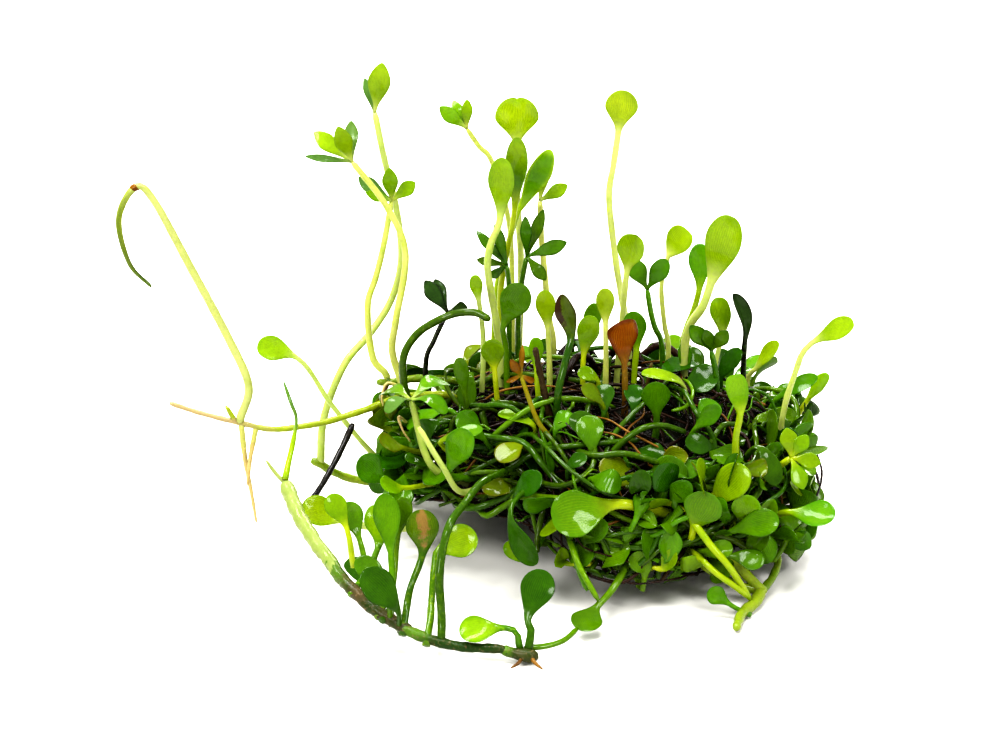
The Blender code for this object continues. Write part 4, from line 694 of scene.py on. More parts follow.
def piece(name, shapes, material, nodes=()):
    """One mesh object from any number of closed skins, riding on the clump."""
    corners, quads, fans, values = [], [], [], []
    start = 0
    for shape_corners, shape_quads, shape_fans, shape_values in shapes:
        corners.append(shape_corners)
        values.append(shape_values)
        quads.append(shape_quads + start)
        fans.append(shape_fans + start)
        start += len(shape_corners)
    quads = np.concatenate(quads)
    fans = np.concatenate(fans)
    places = (np.concatenate(corners) * MM).astype(np.float32)
    mesh = bpy.data.meshes.new(name)
    mesh.vertices.add(len(places))
    mesh.vertices.foreach_set("co", places.ravel())
    loops = np.concatenate([quads.ravel(), fans.ravel()])
    sizes = np.concatenate([np.full(len(quads), 4), np.full(len(fans), 3)])
    mesh.loops.add(len(loops))
    mesh.loops.foreach_set("vertex_index", loops.astype(np.int32))
    mesh.polygons.add(len(sizes))
    starts = np.concatenate([[0], np.cumsum(sizes)[:-1]])
    mesh.polygons.foreach_set("loop_start", starts.astype(np.int32))
    mesh.polygons.foreach_set("use_smooth", np.ones(len(sizes), dtype=bool))
    mesh.update(calc_edges=True)
    grow = mesh.attributes.new("grow", "FLOAT_VECTOR", "POINT")
    grow.data.foreach_set("vector", np.concatenate(values).astype(np.float32).ravel())
    mesh.validate()
    mesh.materials.append(material)
    made = bpy.data.objects.new(name, mesh)
    bpy.context.scene.collection.objects.link(made)
    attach(made, "root")
    if nodes:
        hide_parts(*nodes)


def pieces_by_kind(start, groups, materials):
    """One piece for each kind of growth, in that kind's own material."""
    for kind, shapes in groups.items():
        piece(start + kind.replace(" ", "_"), shapes, materials[kind], ())


# Materials


def add(tree, kind, inputs=None, **settings):
    """One shader node: settings are its own choices, inputs its sockets by name or number."""
    made = tree.nodes.new("ShaderNode" + kind)
    for key, value in settings.items():
        setattr(made, key, value)
    for key, value in (inputs or {}).items():
        if isinstance(value, bpy.types.NodeSocket):
            tree.links.new(value, made.inputs[key])
        else:
            made.inputs[key].default_value = value
    return made


def calc(tree, operation, first, second=0.0):
    return add(tree, "Math", {0: first, 1: second}, operation=operation).outputs[0]


def times(tree, first, second):
    return calc(tree, "MULTIPLY", first, second)


def sum_of(tree, first, *others):
    """The first value plus each of the others, which are pairs of a value and its weight."""
    for value, weight in others:
        first = calc(tree, "ADD", first, times(tree, value, weight))
    return first


def less(tree, first, second):
    return calc(tree, "SUBTRACT", first, second)


def ease(tree, value, low, high, to_low=0.0, to_high=1.0):
    """Smooth step of value from low to high."""
    made = add(tree, "MapRange", {"Value": value, "From Min": low, "From Max": high, "To Min": to_low,
                                  "To Max": to_high}, interpolation_type="SMOOTHSTEP")
    return made.outputs[0]


def blend(tree, share, first, second):
    return add(tree, "Mix", {0: share, 6: first, 7: second}, data_type="RGBA").outputs[2]


def tinted(tree, colour, hue, saturation, value):
    made = add(tree, "HueSaturation", {"Hue": hue, "Saturation": saturation, "Value": value,
                                       "Color": colour})
    return made.outputs[0]


def cloud(tree, scale, detail, distortion=0.0):
    """Uneven patches in the piece's own space, about 1 / scale metres apart."""
    place = add(tree, "TexCoord").outputs["Object"]
    made = add(tree, "TexNoise", {"Vector": place, "Scale": scale, "Detail": detail,
                                  "Distortion": distortion})
    return made.outputs[0]


def growth(tree):
    """Place across, place along and shade, from the piece's own points."""
    stored = add(tree, "Attribute", attribute_name="grow")
    parts = add(tree, "SeparateXYZ", {0: stored.outputs["Vector"]})
    return parts.outputs[0], parts.outputs[1], parts.outputs[2]


def new_group(name, inputs, outputs):
    """Shader group with its sockets, each input set to a value. Returns it, and what it is given."""
    tree = bpy.data.node_groups.new(name, "ShaderNodeTree")
    for label, kind, value in inputs:
        socket = tree.interface.new_socket(label, in_out="INPUT", socket_type="NodeSocket" + kind)
        socket.default_value = value
    for label, kind in outputs:
        tree.interface.new_socket(label, in_out="OUTPUT", socket_type="NodeSocket" + kind)
    return tree, tree.nodes.new("NodeGroupInput").outputs


def put_out(tree, **values):
    """The group's end: each of its outputs takes the value of its name."""
    end = tree.nodes.new("NodeGroupOutput")
    for label, value in values.items():
        tree.links.new(value, end.inputs[label])


def leaf_skin_group():
    """Stalk running into a fan-veined blade with a rim, in most green kinds painted lighter as glow of light
    through the thin edge, an uneven tone and one bruise.
    """
    tree, given = new_group("leaf skin", [
        ("Stalk", "Color", (0.5, 0.6, 0.1, 1)), ("Blade", "Color", (0.1, 0.4, 0.01, 1)),
        ("Pale", "Color", (0.4, 0.6, 0.05, 1)), ("Rim", "Color", (0.1, 0.3, 0.01, 1)),
        ("Bruise", "Color", (0.3, 0.15, 0.02, 1)), ("Bruise Place", "Vector", (0, 0, 0)),
        ("Bruise Size", "Float", -2.0), ("Tip", "Color", (0.1, 0.4, 0.01, 1)),
        ("Tip Share", "Float", 0.0)], [
        ("Colour", "Color"), ("Glow", "Color"), ("Roughness", "Float"), ("Height", "Float"),
        ("Film", "Float"), ("Thin", "Float")])
    across, up, shade = growth(tree)
    side = calc(tree, "ABSOLUTE", across)
    broad = cloud(tree, 170.0, 2.0)
    patches = cloud(tree, 460.0, 3.0)
    grain = cloud(tree, 2400.0, 2.0)
    in_blade = ease(tree, up, 0.0, 0.42)
    before_tip = ease(tree, up, 0.82, 1.0, 1.0, 0.0)

    fan = sum_of(tree, times(tree, across, 25.0), (patches, 1.6))
    ridge = less(tree, 1.0, calc(tree, "ABSOLUTE", calc(tree, "SINE", fan)))
    veins = times(tree, times(tree, calc(tree, "POWER", ridge, 2.0), in_blade), before_tip)

    tone = sum_of(tree, times(tree, patches, 0.6), (broad, 0.6), (shade, 0.3))
    blade = blend(tree, ease(tree, tone, 0.5, 1.1, 0.0, 0.6), given["Blade"], given["Pale"])
    # A tip of another colour: in one kind a painted lit tip over a blade darkened as painted shade, in the
    # drooping frond a darker end
    tip = times(tree, ease(tree, up, 0.35, 0.95), given["Tip Share"])
    blade = blend(tree, tip, blade, given["Tip"])
    blade = blend(tree, times(tree, veins, 0.65), blade, given["Pale"])
    # Thin edges and the tip take the rim colour: painted glow where it is lighter than the blade, the leaf's
    # own brown or dark edge in browned and dead kinds
    edge = calc(tree, "MAXIMUM", ease(tree, side, 0.6, 1.0), ease(tree, up, 0.86, 1.0))
    blade = blend(tree, times(tree, edge, 0.75), blade, given["Rim"])
    speckled = times(tree, ease(tree, grain, 0.5, 0.68), 0.3)
    stalk = blend(tree, speckled, given["Stalk"], given["Pale"])
    stalk = blend(tree, ease(tree, patches, 0.45, 0.75, 0.0, 0.35), stalk, given["Blade"])
    colour = blend(tree, in_blade, stalk, blade)

    here = add(tree, "CombineXYZ", {0: across, 1: up}).outputs[0]
    from_bruise = add(tree, "VectorMath", {0: here, 1: given["Bruise Place"]}, operation="DISTANCE")
    uneven = less(tree, calc(tree, "ADD", patches, grain), 1.0)
    ragged = sum_of(tree, from_bruise.outputs["Value"], (uneven, 0.8))
    bruised = ease(tree, less(tree, given["Bruise Size"], ragged), -0.12, 0.2)
    colour = blend(tree, bruised, colour, given["Bruise"])

    value = sum_of(tree, 0.58, (grain, 0.35), (broad, 0.5))
    colour = tinted(tree, colour, sum_of(tree, 0.485, (shade, 0.03)), 1.0, value)
    solid = less(tree, 1.0, times(tree, bruised, 0.6))
    put_out(tree, Colour=colour, Glow=tinted(tree, colour, 0.49, 1.05, 1.3),
            Roughness=sum_of(tree, 0.2, (grain, 0.2), (bruised, 0.3)),
            Height=sum_of(tree, times(tree, veins, 0.35), (grain, 0.3), (patches, 1.2)),
            Film=cloud(tree, 280.0, 0.5),
            Thin=times(tree, ease(tree, up, 0.0, 0.3, 0.55, 1.0), solid))
    return tree


def root_skin_group():
    """Damp root or runner: two tones in streaks, worn places, a start of its own and fine lumps."""
    tree, given = new_group("root skin", [
        ("Dark", "Color", (0.02, 0.012, 0.006, 1)), ("Light", "Color", (0.12, 0.06, 0.02, 1)),
        ("Worn", "Color", (0.3, 0.16, 0.05, 1)), ("Worn Share", "Float", 0.3),
        ("Start", "Color", (0.5, 0.4, 0.2, 1)), ("Start Share", "Float", 0.0)], [
        ("Colour", "Color"), ("Roughness", "Float"), ("Height", "Float")])
    _, up, shade = growth(tree)
    patches = cloud(tree, 500.0, 4.0, 0.6)
    grain = cloud(tree, 2600.0, 3.0)
    mixed = sum_of(tree, times(tree, patches, 0.8), (shade, 0.5))
    colour = blend(tree, ease(tree, mixed, 0.4, 0.95), given["Dark"], given["Light"])
    uneven = sum_of(tree, up, (less(tree, patches, 0.5), 0.25))
    begun = less(tree, 1.0, ease(tree, uneven, 0.16, 0.4))
    colour = blend(tree, times(tree, begun, given["Start Share"]), colour, given["Start"])
    worn = times(tree, ease(tree, grain, 0.52, 0.72), given["Worn Share"])
    put_out(tree, Colour=blend(tree, worn, colour, given["Worn"]),
            Roughness=ease(tree, patches, 0.4, 0.62, 0.12, 0.6),
            Height=sum_of(tree, grain, (patches, 0.6)))
    return tree


def new_material(name, skin, given):
    """Material that begins with a skin group. Returns it, its tree and what the group puts out."""
    material = bpy.data.materials.new(name)
    material.use_nodes = True
    tree = material.node_tree
    tree.nodes.clear()
    look = tree.nodes.new("ShaderNodeGroup")
    look.node_tree = skin
    for label, value in given.items():
        is_colour = look.inputs[label].type == "RGBA"
        look.inputs[label].default_value = (*value, 1) if is_colour else value
    return material, tree, look.outputs


def leaf_material(name, skin, stalk, blade, pale, rim, tip=None, bruise=None, see_through=0.42,
                  gloss=0.75):
    """Wet leaf: coloured by the leaf skin, under a film of water, and partly lit through from behind."""
    given = {"Stalk": stalk, "Blade": blade, "Pale": pale, "Rim": rim}
    if tip:
        given |= {"Tip": tip, "Tip Share": 1.0}
    if bruise:
        given |= dict(zip(("Bruise Place", "Bruise Size", "Bruise"), bruise))
    material, tree, look = new_material(name, skin, given)
    bump = add(tree, "Bump", {"Strength": 0.5, "Distance": 0.00016, "Height": look["Height"]})
    film = add(tree, "Bump", {"Strength": 1.0, "Distance": 0.0012, "Height": look["Film"]})
    wet = add(tree, "BsdfPrincipled", {
        "Base Color": look["Colour"], "Roughness": look["Roughness"], "Metallic": 0.0,
        "IOR": 1.3, "Specular IOR Level": 0.03, "Coat Weight": gloss, "Coat Roughness": 0.12,
        "Coat IOR": 1.36, "Normal": bump.outputs[0], "Coat Normal": film.outputs[0]})
    lit_through = add(tree, "BsdfTranslucent", {"Color": look["Glow"], "Normal": bump.outputs[0]})
    share = times(tree, look["Thin"], see_through)
    mixed = add(tree, "MixShader", {0: share, 1: wet.outputs[0], 2: lit_through.outputs[0]})
    add(tree, "OutputMaterial", {"Surface": mixed.outputs[0]})
    return material


def root_material(name, skin, dark, light, worn, worn_share, start=None, gloss=0.15, lumpy=0.7):
    """Damp root, runner or dead stem, coloured by the root skin."""
    given = {"Dark": dark, "Light": light, "Worn": worn, "Worn Share": worn_share}
    if start:
        given |= {"Start": start, "Start Share": 1.0}
    material, tree, look = new_material(name, skin, given)
    bump = add(tree, "Bump", {"Strength": lumpy, "Distance": 0.0002, "Height": look["Height"]})
    shader = add(tree, "BsdfPrincipled", {
        "Base Color": look["Colour"], "Roughness": look["Roughness"], "Metallic": 0.0,
        "IOR": 1.35, "Specular IOR Level": 0.15, "Coat Weight": gloss, "Coat Roughness": 0.06,
        "Coat IOR": 1.33, "Normal": bump.outputs[0]})
    add(tree, "OutputMaterial", {"Surface": shader.outputs[0]})
    return material


# The clump

# Wet leaf colours: stalk, blade, the paler colour of veins and patches, and the rim, in most green kinds a
# little lighter than the blade as painted glow of light through the thin edge
LEAVES = {
    "bright": ((0.41, 0.45, 0.14), (0.215, 0.305, 0.0003), (0.42, 0.48, 0.01), (0.24, 0.34, 0.005)),
    "young": ((0.39, 0.43, 0.12), (0.175, 0.28, 0.0003), (0.34, 0.43, 0.008), (0.19, 0.30, 0.003)),
    "lime": ((0.33, 0.39, 0.008), (0.13, 0.25, 0.0002), (0.23, 0.34, 0.001), (0.15, 0.28, 0.001)),
    "fresh": ((0.26, 0.34, 0.004), (0.08, 0.205, 0.0002), (0.15, 0.28, 0.0008), (0.07, 0.20, 0.0003)),
    "grass": ((0.085, 0.19, 0.0005), (0.072, 0.185, 0.0003), (0.16, 0.29, 0.001), (0.065, 0.165, 0.0003)),
    "mature": ((0.072, 0.155, 0.0003), (0.05, 0.14, 0.0001), (0.12, 0.24, 0.0005), (0.062, 0.155, 0.0002)),
    "deep": ((0.03, 0.08, 0.0002), (0.02, 0.075, 0.0001), (0.06, 0.155, 0.0003), (0.032, 0.10, 0.0002)),
    "olive": ((0.12, 0.15, 0.002), (0.12, 0.18, 0.0003), (0.19, 0.26, 0.001), (0.12, 0.12, 0.001)),
    "clover": ((0.04, 0.11, 0.0005), (0.045, 0.125, 0.0003), (0.13, 0.25, 0.002), (0.025, 0.08, 0.0005)),
    "grey": ((0.19, 0.24, 0.05), (0.095, 0.185, 0.03), (0.17, 0.28, 0.07), (0.08, 0.17, 0.02)),
    "blackened": ((0.008, 0.008, 0.004), (0.012, 0.035, 0.003), (0.06, 0.13, 0.02), (0.006, 0.008, 0.004)),
    "stem": ((0.034, 0.075, 0.0002), (0.024, 0.055, 0.0002), (0.10, 0.165, 0.0005), (0.034, 0.067, 0.0002)),
    "pale stalked": ((0.42, 0.46, 0.11), (0.15, 0.29, 0.0003), (0.26, 0.38, 0.002), (0.14, 0.27, 0.001)),
    "dark stalked": ((0.05, 0.13, 0.0005), (0.16, 0.28, 0.0003), (0.26, 0.37, 0.002), (0.10, 0.21, 0.0003)),
    "pale based": ((0.30, 0.36, 0.08), (0.072, 0.185, 0.0003), (0.16, 0.29, 0.001), (0.065, 0.165, 0.0003)),
    # Rim far lighter than the blade: painted glow of light through the thin edge
    "light rimmed": ((0.30, 0.38, 0.01), (0.10, 0.23, 0.0003), (0.22, 0.35, 0.002), (0.34, 0.44, 0.01)),
}

# Leaves with a tip or a bruise of another colour, and dead ones: the same four colours, then the rest
MARKED_LEAVES = {
    "drooping": ((0.34, 0.37, 0.12), (0.17, 0.22, 0.005), (0.28, 0.32, 0.04), (0.09, 0.14, 0.006),
                 dict(tip=(0.02, 0.05, 0.012), see_through=0.3)),
    # The narrow top frond: its tip lighter as painted light, the rest of its blade darker as painted shade
    # from the frond in front
    "light tipped": ((0.30, 0.38, 0.01), (0.045, 0.14, 0.0002), (0.11, 0.25, 0.001), (0.12, 0.26, 0.001),
                     dict(tip=(0.24, 0.38, 0.001))),
    "spotted": ((0.024, 0.0864, 0.0019), (0.0576, 0.1344, 0.001), (0.144, 0.2016, 0.0048),
                (0.048, 0.1152, 0.001), dict(bruise=((0.05, 0.72, 0), 0.46, (0.19, 0.13, 0.03)))),
    "browned": ((0.024, 0.0672, 0.0014), (0.0432, 0.0816, 0.001), (0.1152, 0.1344, 0.0048),
                (0.024, 0.0086, 0.0019), dict(bruise=((-0.75, 0.75, 0), 0.5, (0.0288, 0.0115, 0.0024)))),
    "dead": ((0.15, 0.10, 0.008), (0.19, 0.062, 0.003), (0.36, 0.19, 0.01), (0.085, 0.02, 0.002),
             dict(see_through=0.4, gloss=0.4)),
    "withered": ((0.192, 0.1728, 0.0058), (0.192, 0.072, 0.0019), (0.264, 0.144, 0.0058),
                 (0.1152, 0.0384, 0.0019), dict(see_through=0.35, gloss=0.5)),
}

# Root and runner colours: dark streaks, light streaks, worn places and their share, then the rest
ROOTS = {
    "dark root": ((0.0048, 0.0024, 0.0012), (0.0192, 0.0077, 0.0029), (0.0576, 0.024, 0.0086), 0.3, {}),
    "golden root": ((0.07, 0.03, 0.0035), (0.16, 0.08, 0.012), (0.24, 0.15, 0.045), 0.35, {}),
    "hanging root": ((0.29, 0.21, 0.06), (0.38, 0.30, 0.12), (0.31, 0.18, 0.05), 0.3,
                     dict(start=(0.31, 0.31, 0.08))),
    # Mat heart: near black, for dark roots deep in the clump and painted shade in the gaps between them
    "mat heart and painted shade": ((0.0019, 0.0019, 0.0005), (0.0048, 0.0058, 0.001), (0.0144, 0.0096, 0.0029), 0.3,
                  dict(gloss=0.0)),
    "dead stub": ((0.024, 0.0144, 0.0038), (0.0672, 0.048, 0.0072), (0.096, 0.0576, 0.0144), 0.3, {}),
    "black root": ((0.002, 0.002, 0.0015), (0.008, 0.006, 0.004), (0.03, 0.02, 0.01), 0.2,
                   dict(gloss=1.0, lumpy=1.0)),
    "runner": ((0.155, 0.195, 0.005), (0.28, 0.32, 0.015), (0.28, 0.21, 0.04), 0.2,
               dict(start=(0.264, 0.2016, 0.0912), gloss=0.4)),
    "light runner": ((0.0816, 0.1392, 0.0024), (0.1728, 0.2304, 0.0096), (0.192, 0.12, 0.0288), 0.3,
                     dict(gloss=0.5)),
    "pale runner": ((0.15, 0.19, 0.045), (0.21, 0.245, 0.07), (0.27, 0.29, 0.11), 0.08,
                    dict(gloss=0.05, lumpy=0.05)),
    "scaly runner": ((0.012, 0.0336, 0.0029), (0.0576, 0.0408, 0.0144), (0.144, 0.096, 0.048), 0.5,
                     dict(start=(0.0576, 0.1152, 0.0072))),
}

# Growth over the mat: how many roots, stems and fronds, and how often a frond's place is drawn
ROOTS_ALL_OVER = 260
ROOTS_IN_HOLLOW = 90
GOLDEN_ROOTS = 30
THICK_CREEPERS = 90
THIN_CREEPERS = 150
LOW_FRONDS = 250
PLACES_DRAWN = 1500

# Kinds in the order in which creepers take them, and those of the low fronds by place; the dark kinds in the
# clump's middle are painted shade
CREEPER_KINDS = ("stem", "deep", "mature", "stem", "mature", "deep", "stem")
SHADED_MIDDLE_FRONDS = ("deep", "mature", "deep")
UPPER_FRONDS = SHADED_MIDDLE_FRONDS + ("grass", "mature", "mature", "deep", "mature", "olive")
FRONT_FRONDS = ("mature", "grass", "lime", "mature", "grass")

# Room that the growth on the mat keeps to: low corner and high corner
ROOM = np.array([[-25.0, -23.5, 1.2], [25.6, 21.0, 26.0]])
# Heights that a low frond's middle keeps between, the upper one lower at the right
LOWEST, HIGHEST, HIGHEST_AT_RIGHT = 3.5, 17.0, 16.5
# Room left free along the bright front frond, and height from which creepers are grown
CLEAR_OF_FRONT = 2.4
CREEPERS_ABOVE = 4

# The mat's heart: sections, points round each, its share of the bun, and how much further it is
# drawn in under the hollow
HEART_SECTIONS, HEART_AROUND = 90, 150
HEART_SHARE = 0.86
HOLLOW_DRAWN_IN = 0.72


def make_materials():
    """Every material of the clump, by the kind of growth it covers."""
    leaf_skin, root_skin = leaf_skin_group(), root_skin_group()
    made = {}
    for kind, colours in LEAVES.items():
        made[kind] = leaf_material(kind + " leaf", leaf_skin, *colours)
    for kind, (*colours, rest) in MARKED_LEAVES.items():
        made[kind] = leaf_material(kind + " leaf", leaf_skin, *colours, **rest)
    for kind, (*colours, rest) in ROOTS.items():
        made[kind] = root_material(kind, root_skin, *colours, **rest)
    return made


def grow_fronds(materials, dice):
    """Fronds with one blade, then the dying frond: a stem that shrinks to its end."""
    for name, (slot, kind, face, blade, radii, route) in FRONDS.items():
        look = dict(ripple=0.02) | BLADE_TOUCHES.get(name, {})
        route = FEET.get(name, []) + route
        shape = frond_shape(route, face, blade, radii, shade=dice.random(), **look)
        piece("grown_" + name, [shape], materials[kind], (name,))
    shape = stem_shape(rooted(DROOPING_FROND), 0.52, 0.2, shade=0.4, around=16, fine=0.35, rough=0.02,
                       blade_from=0.66, taper=3.4)
    piece("grown_drooping_frond", [shape], materials["drooping"], ("drooping_frond",))
    bend = stem_shape(WITHERED_BEND, 0.46, 0.45, around=16, fine=0.2)
    piece("drooping_frond_bend", [bend], materials["dead"], ())


def grow_clovers(materials, dice):
    """Fronds with leaflets: a stem to the hub, then a leaflet to each tip."""
    for name, (slot, kind, face, radii, route, leaflets) in CLOVERS.items():
        route = FEET.get(name, []) + route
        shapes = [stem_shape(route, *radii, shade=dice.random(), rough=0.02, blade_from=1.0)]
        dull = []
        for k, (tip, half_width) in enumerate(leaflets):
            turned = dull if k in UNDERSIDES.get(name, ()) else shapes
            turned.append(leaflet_shape(route[-1], tip, half_width, face, shade=dice.random(),
                                        ripple=0.03, **BLADE_TOUCHES.get(name, {})))
        piece("grown_" + name, shapes, materials[kind], (name,))
        if dull:
            piece("dull_leaflets_" + name, dull, materials["grey"], ())


def grow_stems(materials, dice):
    """Runners and crowns, lumpy where they are bark and smooth where they are green."""
    for name, (slot, skin, lengths) in STEMS.items():
        at_side, side_skin, side_slot = SIDE_GROWTH.get(name, ((), None, None))
        shapes, side = [], []
        for k, (first, last, route) in enumerate(lengths):
            if k == 0 and name in NEXT_LENGTH:
                _, _, next_lengths = STEMS[NEXT_LENGTH[name]]
                route = route + next_lengths[0][2][:2]
            smooth = "stem" in (skin, side_skin if k in at_side else None)
            grown = side if k in at_side else shapes
            grown.append(stem_shape(route, first, last, shade=dice.random(), fine=0.4,
                                    rough=0.02 if smooth else 0.06, blade_from=1.0 if smooth else 0.0))
        piece("grown_" + name, shapes, materials[skin], (name,))
        if side:
            piece("side_growth_" + name, side, materials[side_skin], ())


def grow_small_fronds(materials, dice):
    """The small fronds that are fused to what carries them in the solids."""
    groups = {}
    for kind, face, blade, radii, route in SMALL_FRONDS:
        groups.setdefault(kind, []).append(frond_shape(
            route, face, blade, radii, shade=dice.random(), around=16, fine=1.3, blade_rows=18,
            full=dice.uniform(0.35, 0.5), point=dice.uniform(1.4, 2.0), wedge=dice.uniform(0.0, 0.7),
            ripple=0.05))
    pieces_by_kind("small_fronds_", groups, materials)


def mat_heart():
    """Dark heart of the mat, partly painted shade of its gaps: the bun drawn in by about a seventh, knobbly,
    and deeper in at the hollow.
    """
    rows, around = HEART_SECTIONS, HEART_AROUND
    polar = np.linspace(np.pi - 0.02, 0.02, rows)[:, None]
    turn = -np.arange(around)[None, :] * 2 * np.pi / around
    every = np.ones((rows, around))
    direction = np.stack([np.sin(polar) * np.cos(turn), np.sin(polar) * np.sin(turn),
                          np.cos(polar) * every], axis=-1)
    knobs = (np.sin(23 * turn + 9 * polar) + np.sin(31 * polar + 11 * turn)
             + np.sin(17 * turn - 29 * polar)) / 3
    middle = np.array([*MAT_CENTRE, 0.42 * MAT_HEIGHT])
    low = np.clip(1.2 - np.cos(polar) * 2.5, 0, 1)
    drawn_in = HOLLOW_DRAWN_IN * low * near_turn(turn, MAT_HOLLOW[1] + 0.15, 0.9)
    share = HEART_SHARE - drawn_in + 0.03 * knobs
    skin = middle + (mat_point(direction) - middle) * share[..., None]
    up = np.linspace(0, 1, rows)[:, None]
    return surface(skin, np.stack([np.cos(turn) * every, up * every, knobs * 0.5 + 0.5], axis=-1))


def way_out(around, z):
    """Direction from the mat's centre: its turn and its height, of length one."""
    reach = np.sqrt(1 - z * z)
    return np.array([reach * np.cos(around), reach * np.sin(around), z])


def random_start(dice, low, high, turn=None, spread=np.pi):
    """A direction on the mat between two heights, and a level or sloping way to go from it."""
    z = dice.uniform(low, high)
    start = way_out(dice.uniform(-np.pi, np.pi) if turn is None else dice.normal(turn, spread), z)
    side = unit(np.cross([0, 0, 1.0], start))
    rise = np.cross(start, side)
    slant = dice.uniform(0, 2 * np.pi)
    return start, unit(np.cos(slant) * side + np.sin(slant) * rise)


def route_over_mat(dice, start_at, angles, lifts, arches, wander, points=7):
    """Route over the mat: a great-circle walk from a random start that wanders and arches up.

    The angle it walks, its lift off the mat and the height of its arch are drawn from their ranges.
    """
    start, heading = random_start(dice, *start_at)
    angle, lift, arch = dice.uniform(*angles), dice.uniform(*lifts), dice.uniform(*arches)
    across = np.cross(start, heading)
    share = np.linspace(0, 1, points)
    walk = angle * share
    swing = wander * np.cumsum(dice.normal(size=points)) / points ** 0.5
    direction = unit(np.cos(walk)[:, None] * start + np.sin(walk)[:, None] * heading
                     + swing[:, None] * across)
    direction[:, 2] = np.maximum(direction[:, 2], 0.02)
    height = lift + arch * np.sin(np.pi * share) + dice.normal(size=points) * 0.25
    route = mat_point(unit(direction), height)
    route[:, 2] = np.maximum(route[:, 2], 0.4)
    return route


def low_frond(dice, direction, tall, long, wide):
    """Short frond on the mat: its blade looks out and up, and leans its own way."""
    out = mat_slope(direction)
    foot = mat_point(direction, -1.6)
    lean = unit(out + np.array([0, -0.1, 0.4]) + dice.normal(size=3) * 0.5)
    knee = foot + out * (1.6 + 0.3 * tall) + dice.normal(size=3) * (0.3 + 0.12 * tall)
    neck = foot + out * 1.6 + lean * tall
    bend = unit(lean + dice.normal(size=3) * 0.7 + np.array([0, 0, -0.15]))
    route = np.clip(np.stack([foot, knee, neck, neck + bend * long]), *ROOM)
    face = unit(out * 0.7 + np.array([0, -0.25, 0.5]) + dice.normal(size=3) * 0.75)
    blade_way = unit(route[-1] - route[-2])
    if np.linalg.norm(np.cross(blade_way, face)) < 0.35:
        face = unit(np.cross(np.cross(blade_way, face), blade_way) + 0.1)
    blade = (long, wide, dice.uniform(0.1, 0.6), dice.choice([0, 0, 0.35]))
    return route, frond_shape(route, face, blade, (0.4, 0.33), shade=dice.random(), around=12,
                              fine=1.2, blade_rows=14, full=dice.uniform(0.35, 0.55),
                              point=dice.uniform(1.4, 2.2), wedge=dice.uniform(0.0, 0.8),
                              ripple=dice.uniform(0.0, 0.08))


def in_hollow(around):
    """Whether a direction points into the mat's hollow."""
    return near_turn(around, MAT_HOLLOW[1], 0.5) > 0.4


def hair_root(dice, route, thickest, taper):
    """Thin, knobbly root that narrows to taper times its first radius."""
    radius = dice.uniform(0.1, thickest)
    return stem_shape(route, radius, radius * taper, shade=dice.random(), around=8, fine=0.55, rough=0.12)


def grow_roots(materials, dice):
    """The mat: its dark heart, partly painted shade, under open root work, thick strands, golden roots and
    dead stubs.
    """
    piece("mat_heart", [mat_heart()], materials["mat heart and painted shade"], ("root_mat",))
    roots = []
    for k in range(ROOTS_ALL_OVER):
        heights = (0.5, 1.0) if k % 2 else (0.05, 0.9)
        route = route_over_mat(dice, heights, (0.3, 1.2), (-1.6, -0.2), (0.2, 2.4), 0.18)
        roots.append(hair_root(dice, route, 0.28, 0.7))
    for _ in range(ROOTS_IN_HOLLOW):
        route = route_over_mat(dice, (0.02, 0.55, MAT_HOLLOW[1], 0.5), (0.2, 0.7), (-5.5, -1.5),
                                 (0.0, 2.0), 0.2, 6)
        roots.append(hair_root(dice, route, 0.26, 0.6))
    for start, height, end in STRANDS:
        middle = ((start[0] + end[0]) / 2, (start[1] + end[1]) / 2, height)
        ends = [(*start, height - 5.0), middle, (*end, height - 5.0)]
        roots.append(stem_shape(ends, 0.5, 0.38, shade=dice.random(), rough=0.1))
    piece("mat_roots", roots, materials["dark root"])

    gold = []
    for _ in range(GOLDEN_ROOTS):
        route = route_over_mat(dice, (0.05, 0.95), (0.2, 0.6), (-0.2, 0.2), (0.3, 2.0), 0.14, 5)
        gold.append(stem_shape(route, 0.16, 0.1, shade=dice.random(), around=8, fine=0.6, rough=0.1))
    piece("mat_golden_roots", gold, materials["golden root"])
    hanging = [stem_shape(route, 0.2, 0.1, shade=0.8, around=8, fine=0.4, rough=0.1)
               for route in HANGING_ROOTS]
    piece("mat_hanging_roots", hanging, materials["hanging root"])
    stubs = [stem_shape(route, first, last, shade=dice.random(), fine=0.4, rough=0.14)
             for first, last, route in STUBS]
    piece("dead_stubs", stubs, materials["dead stub"])


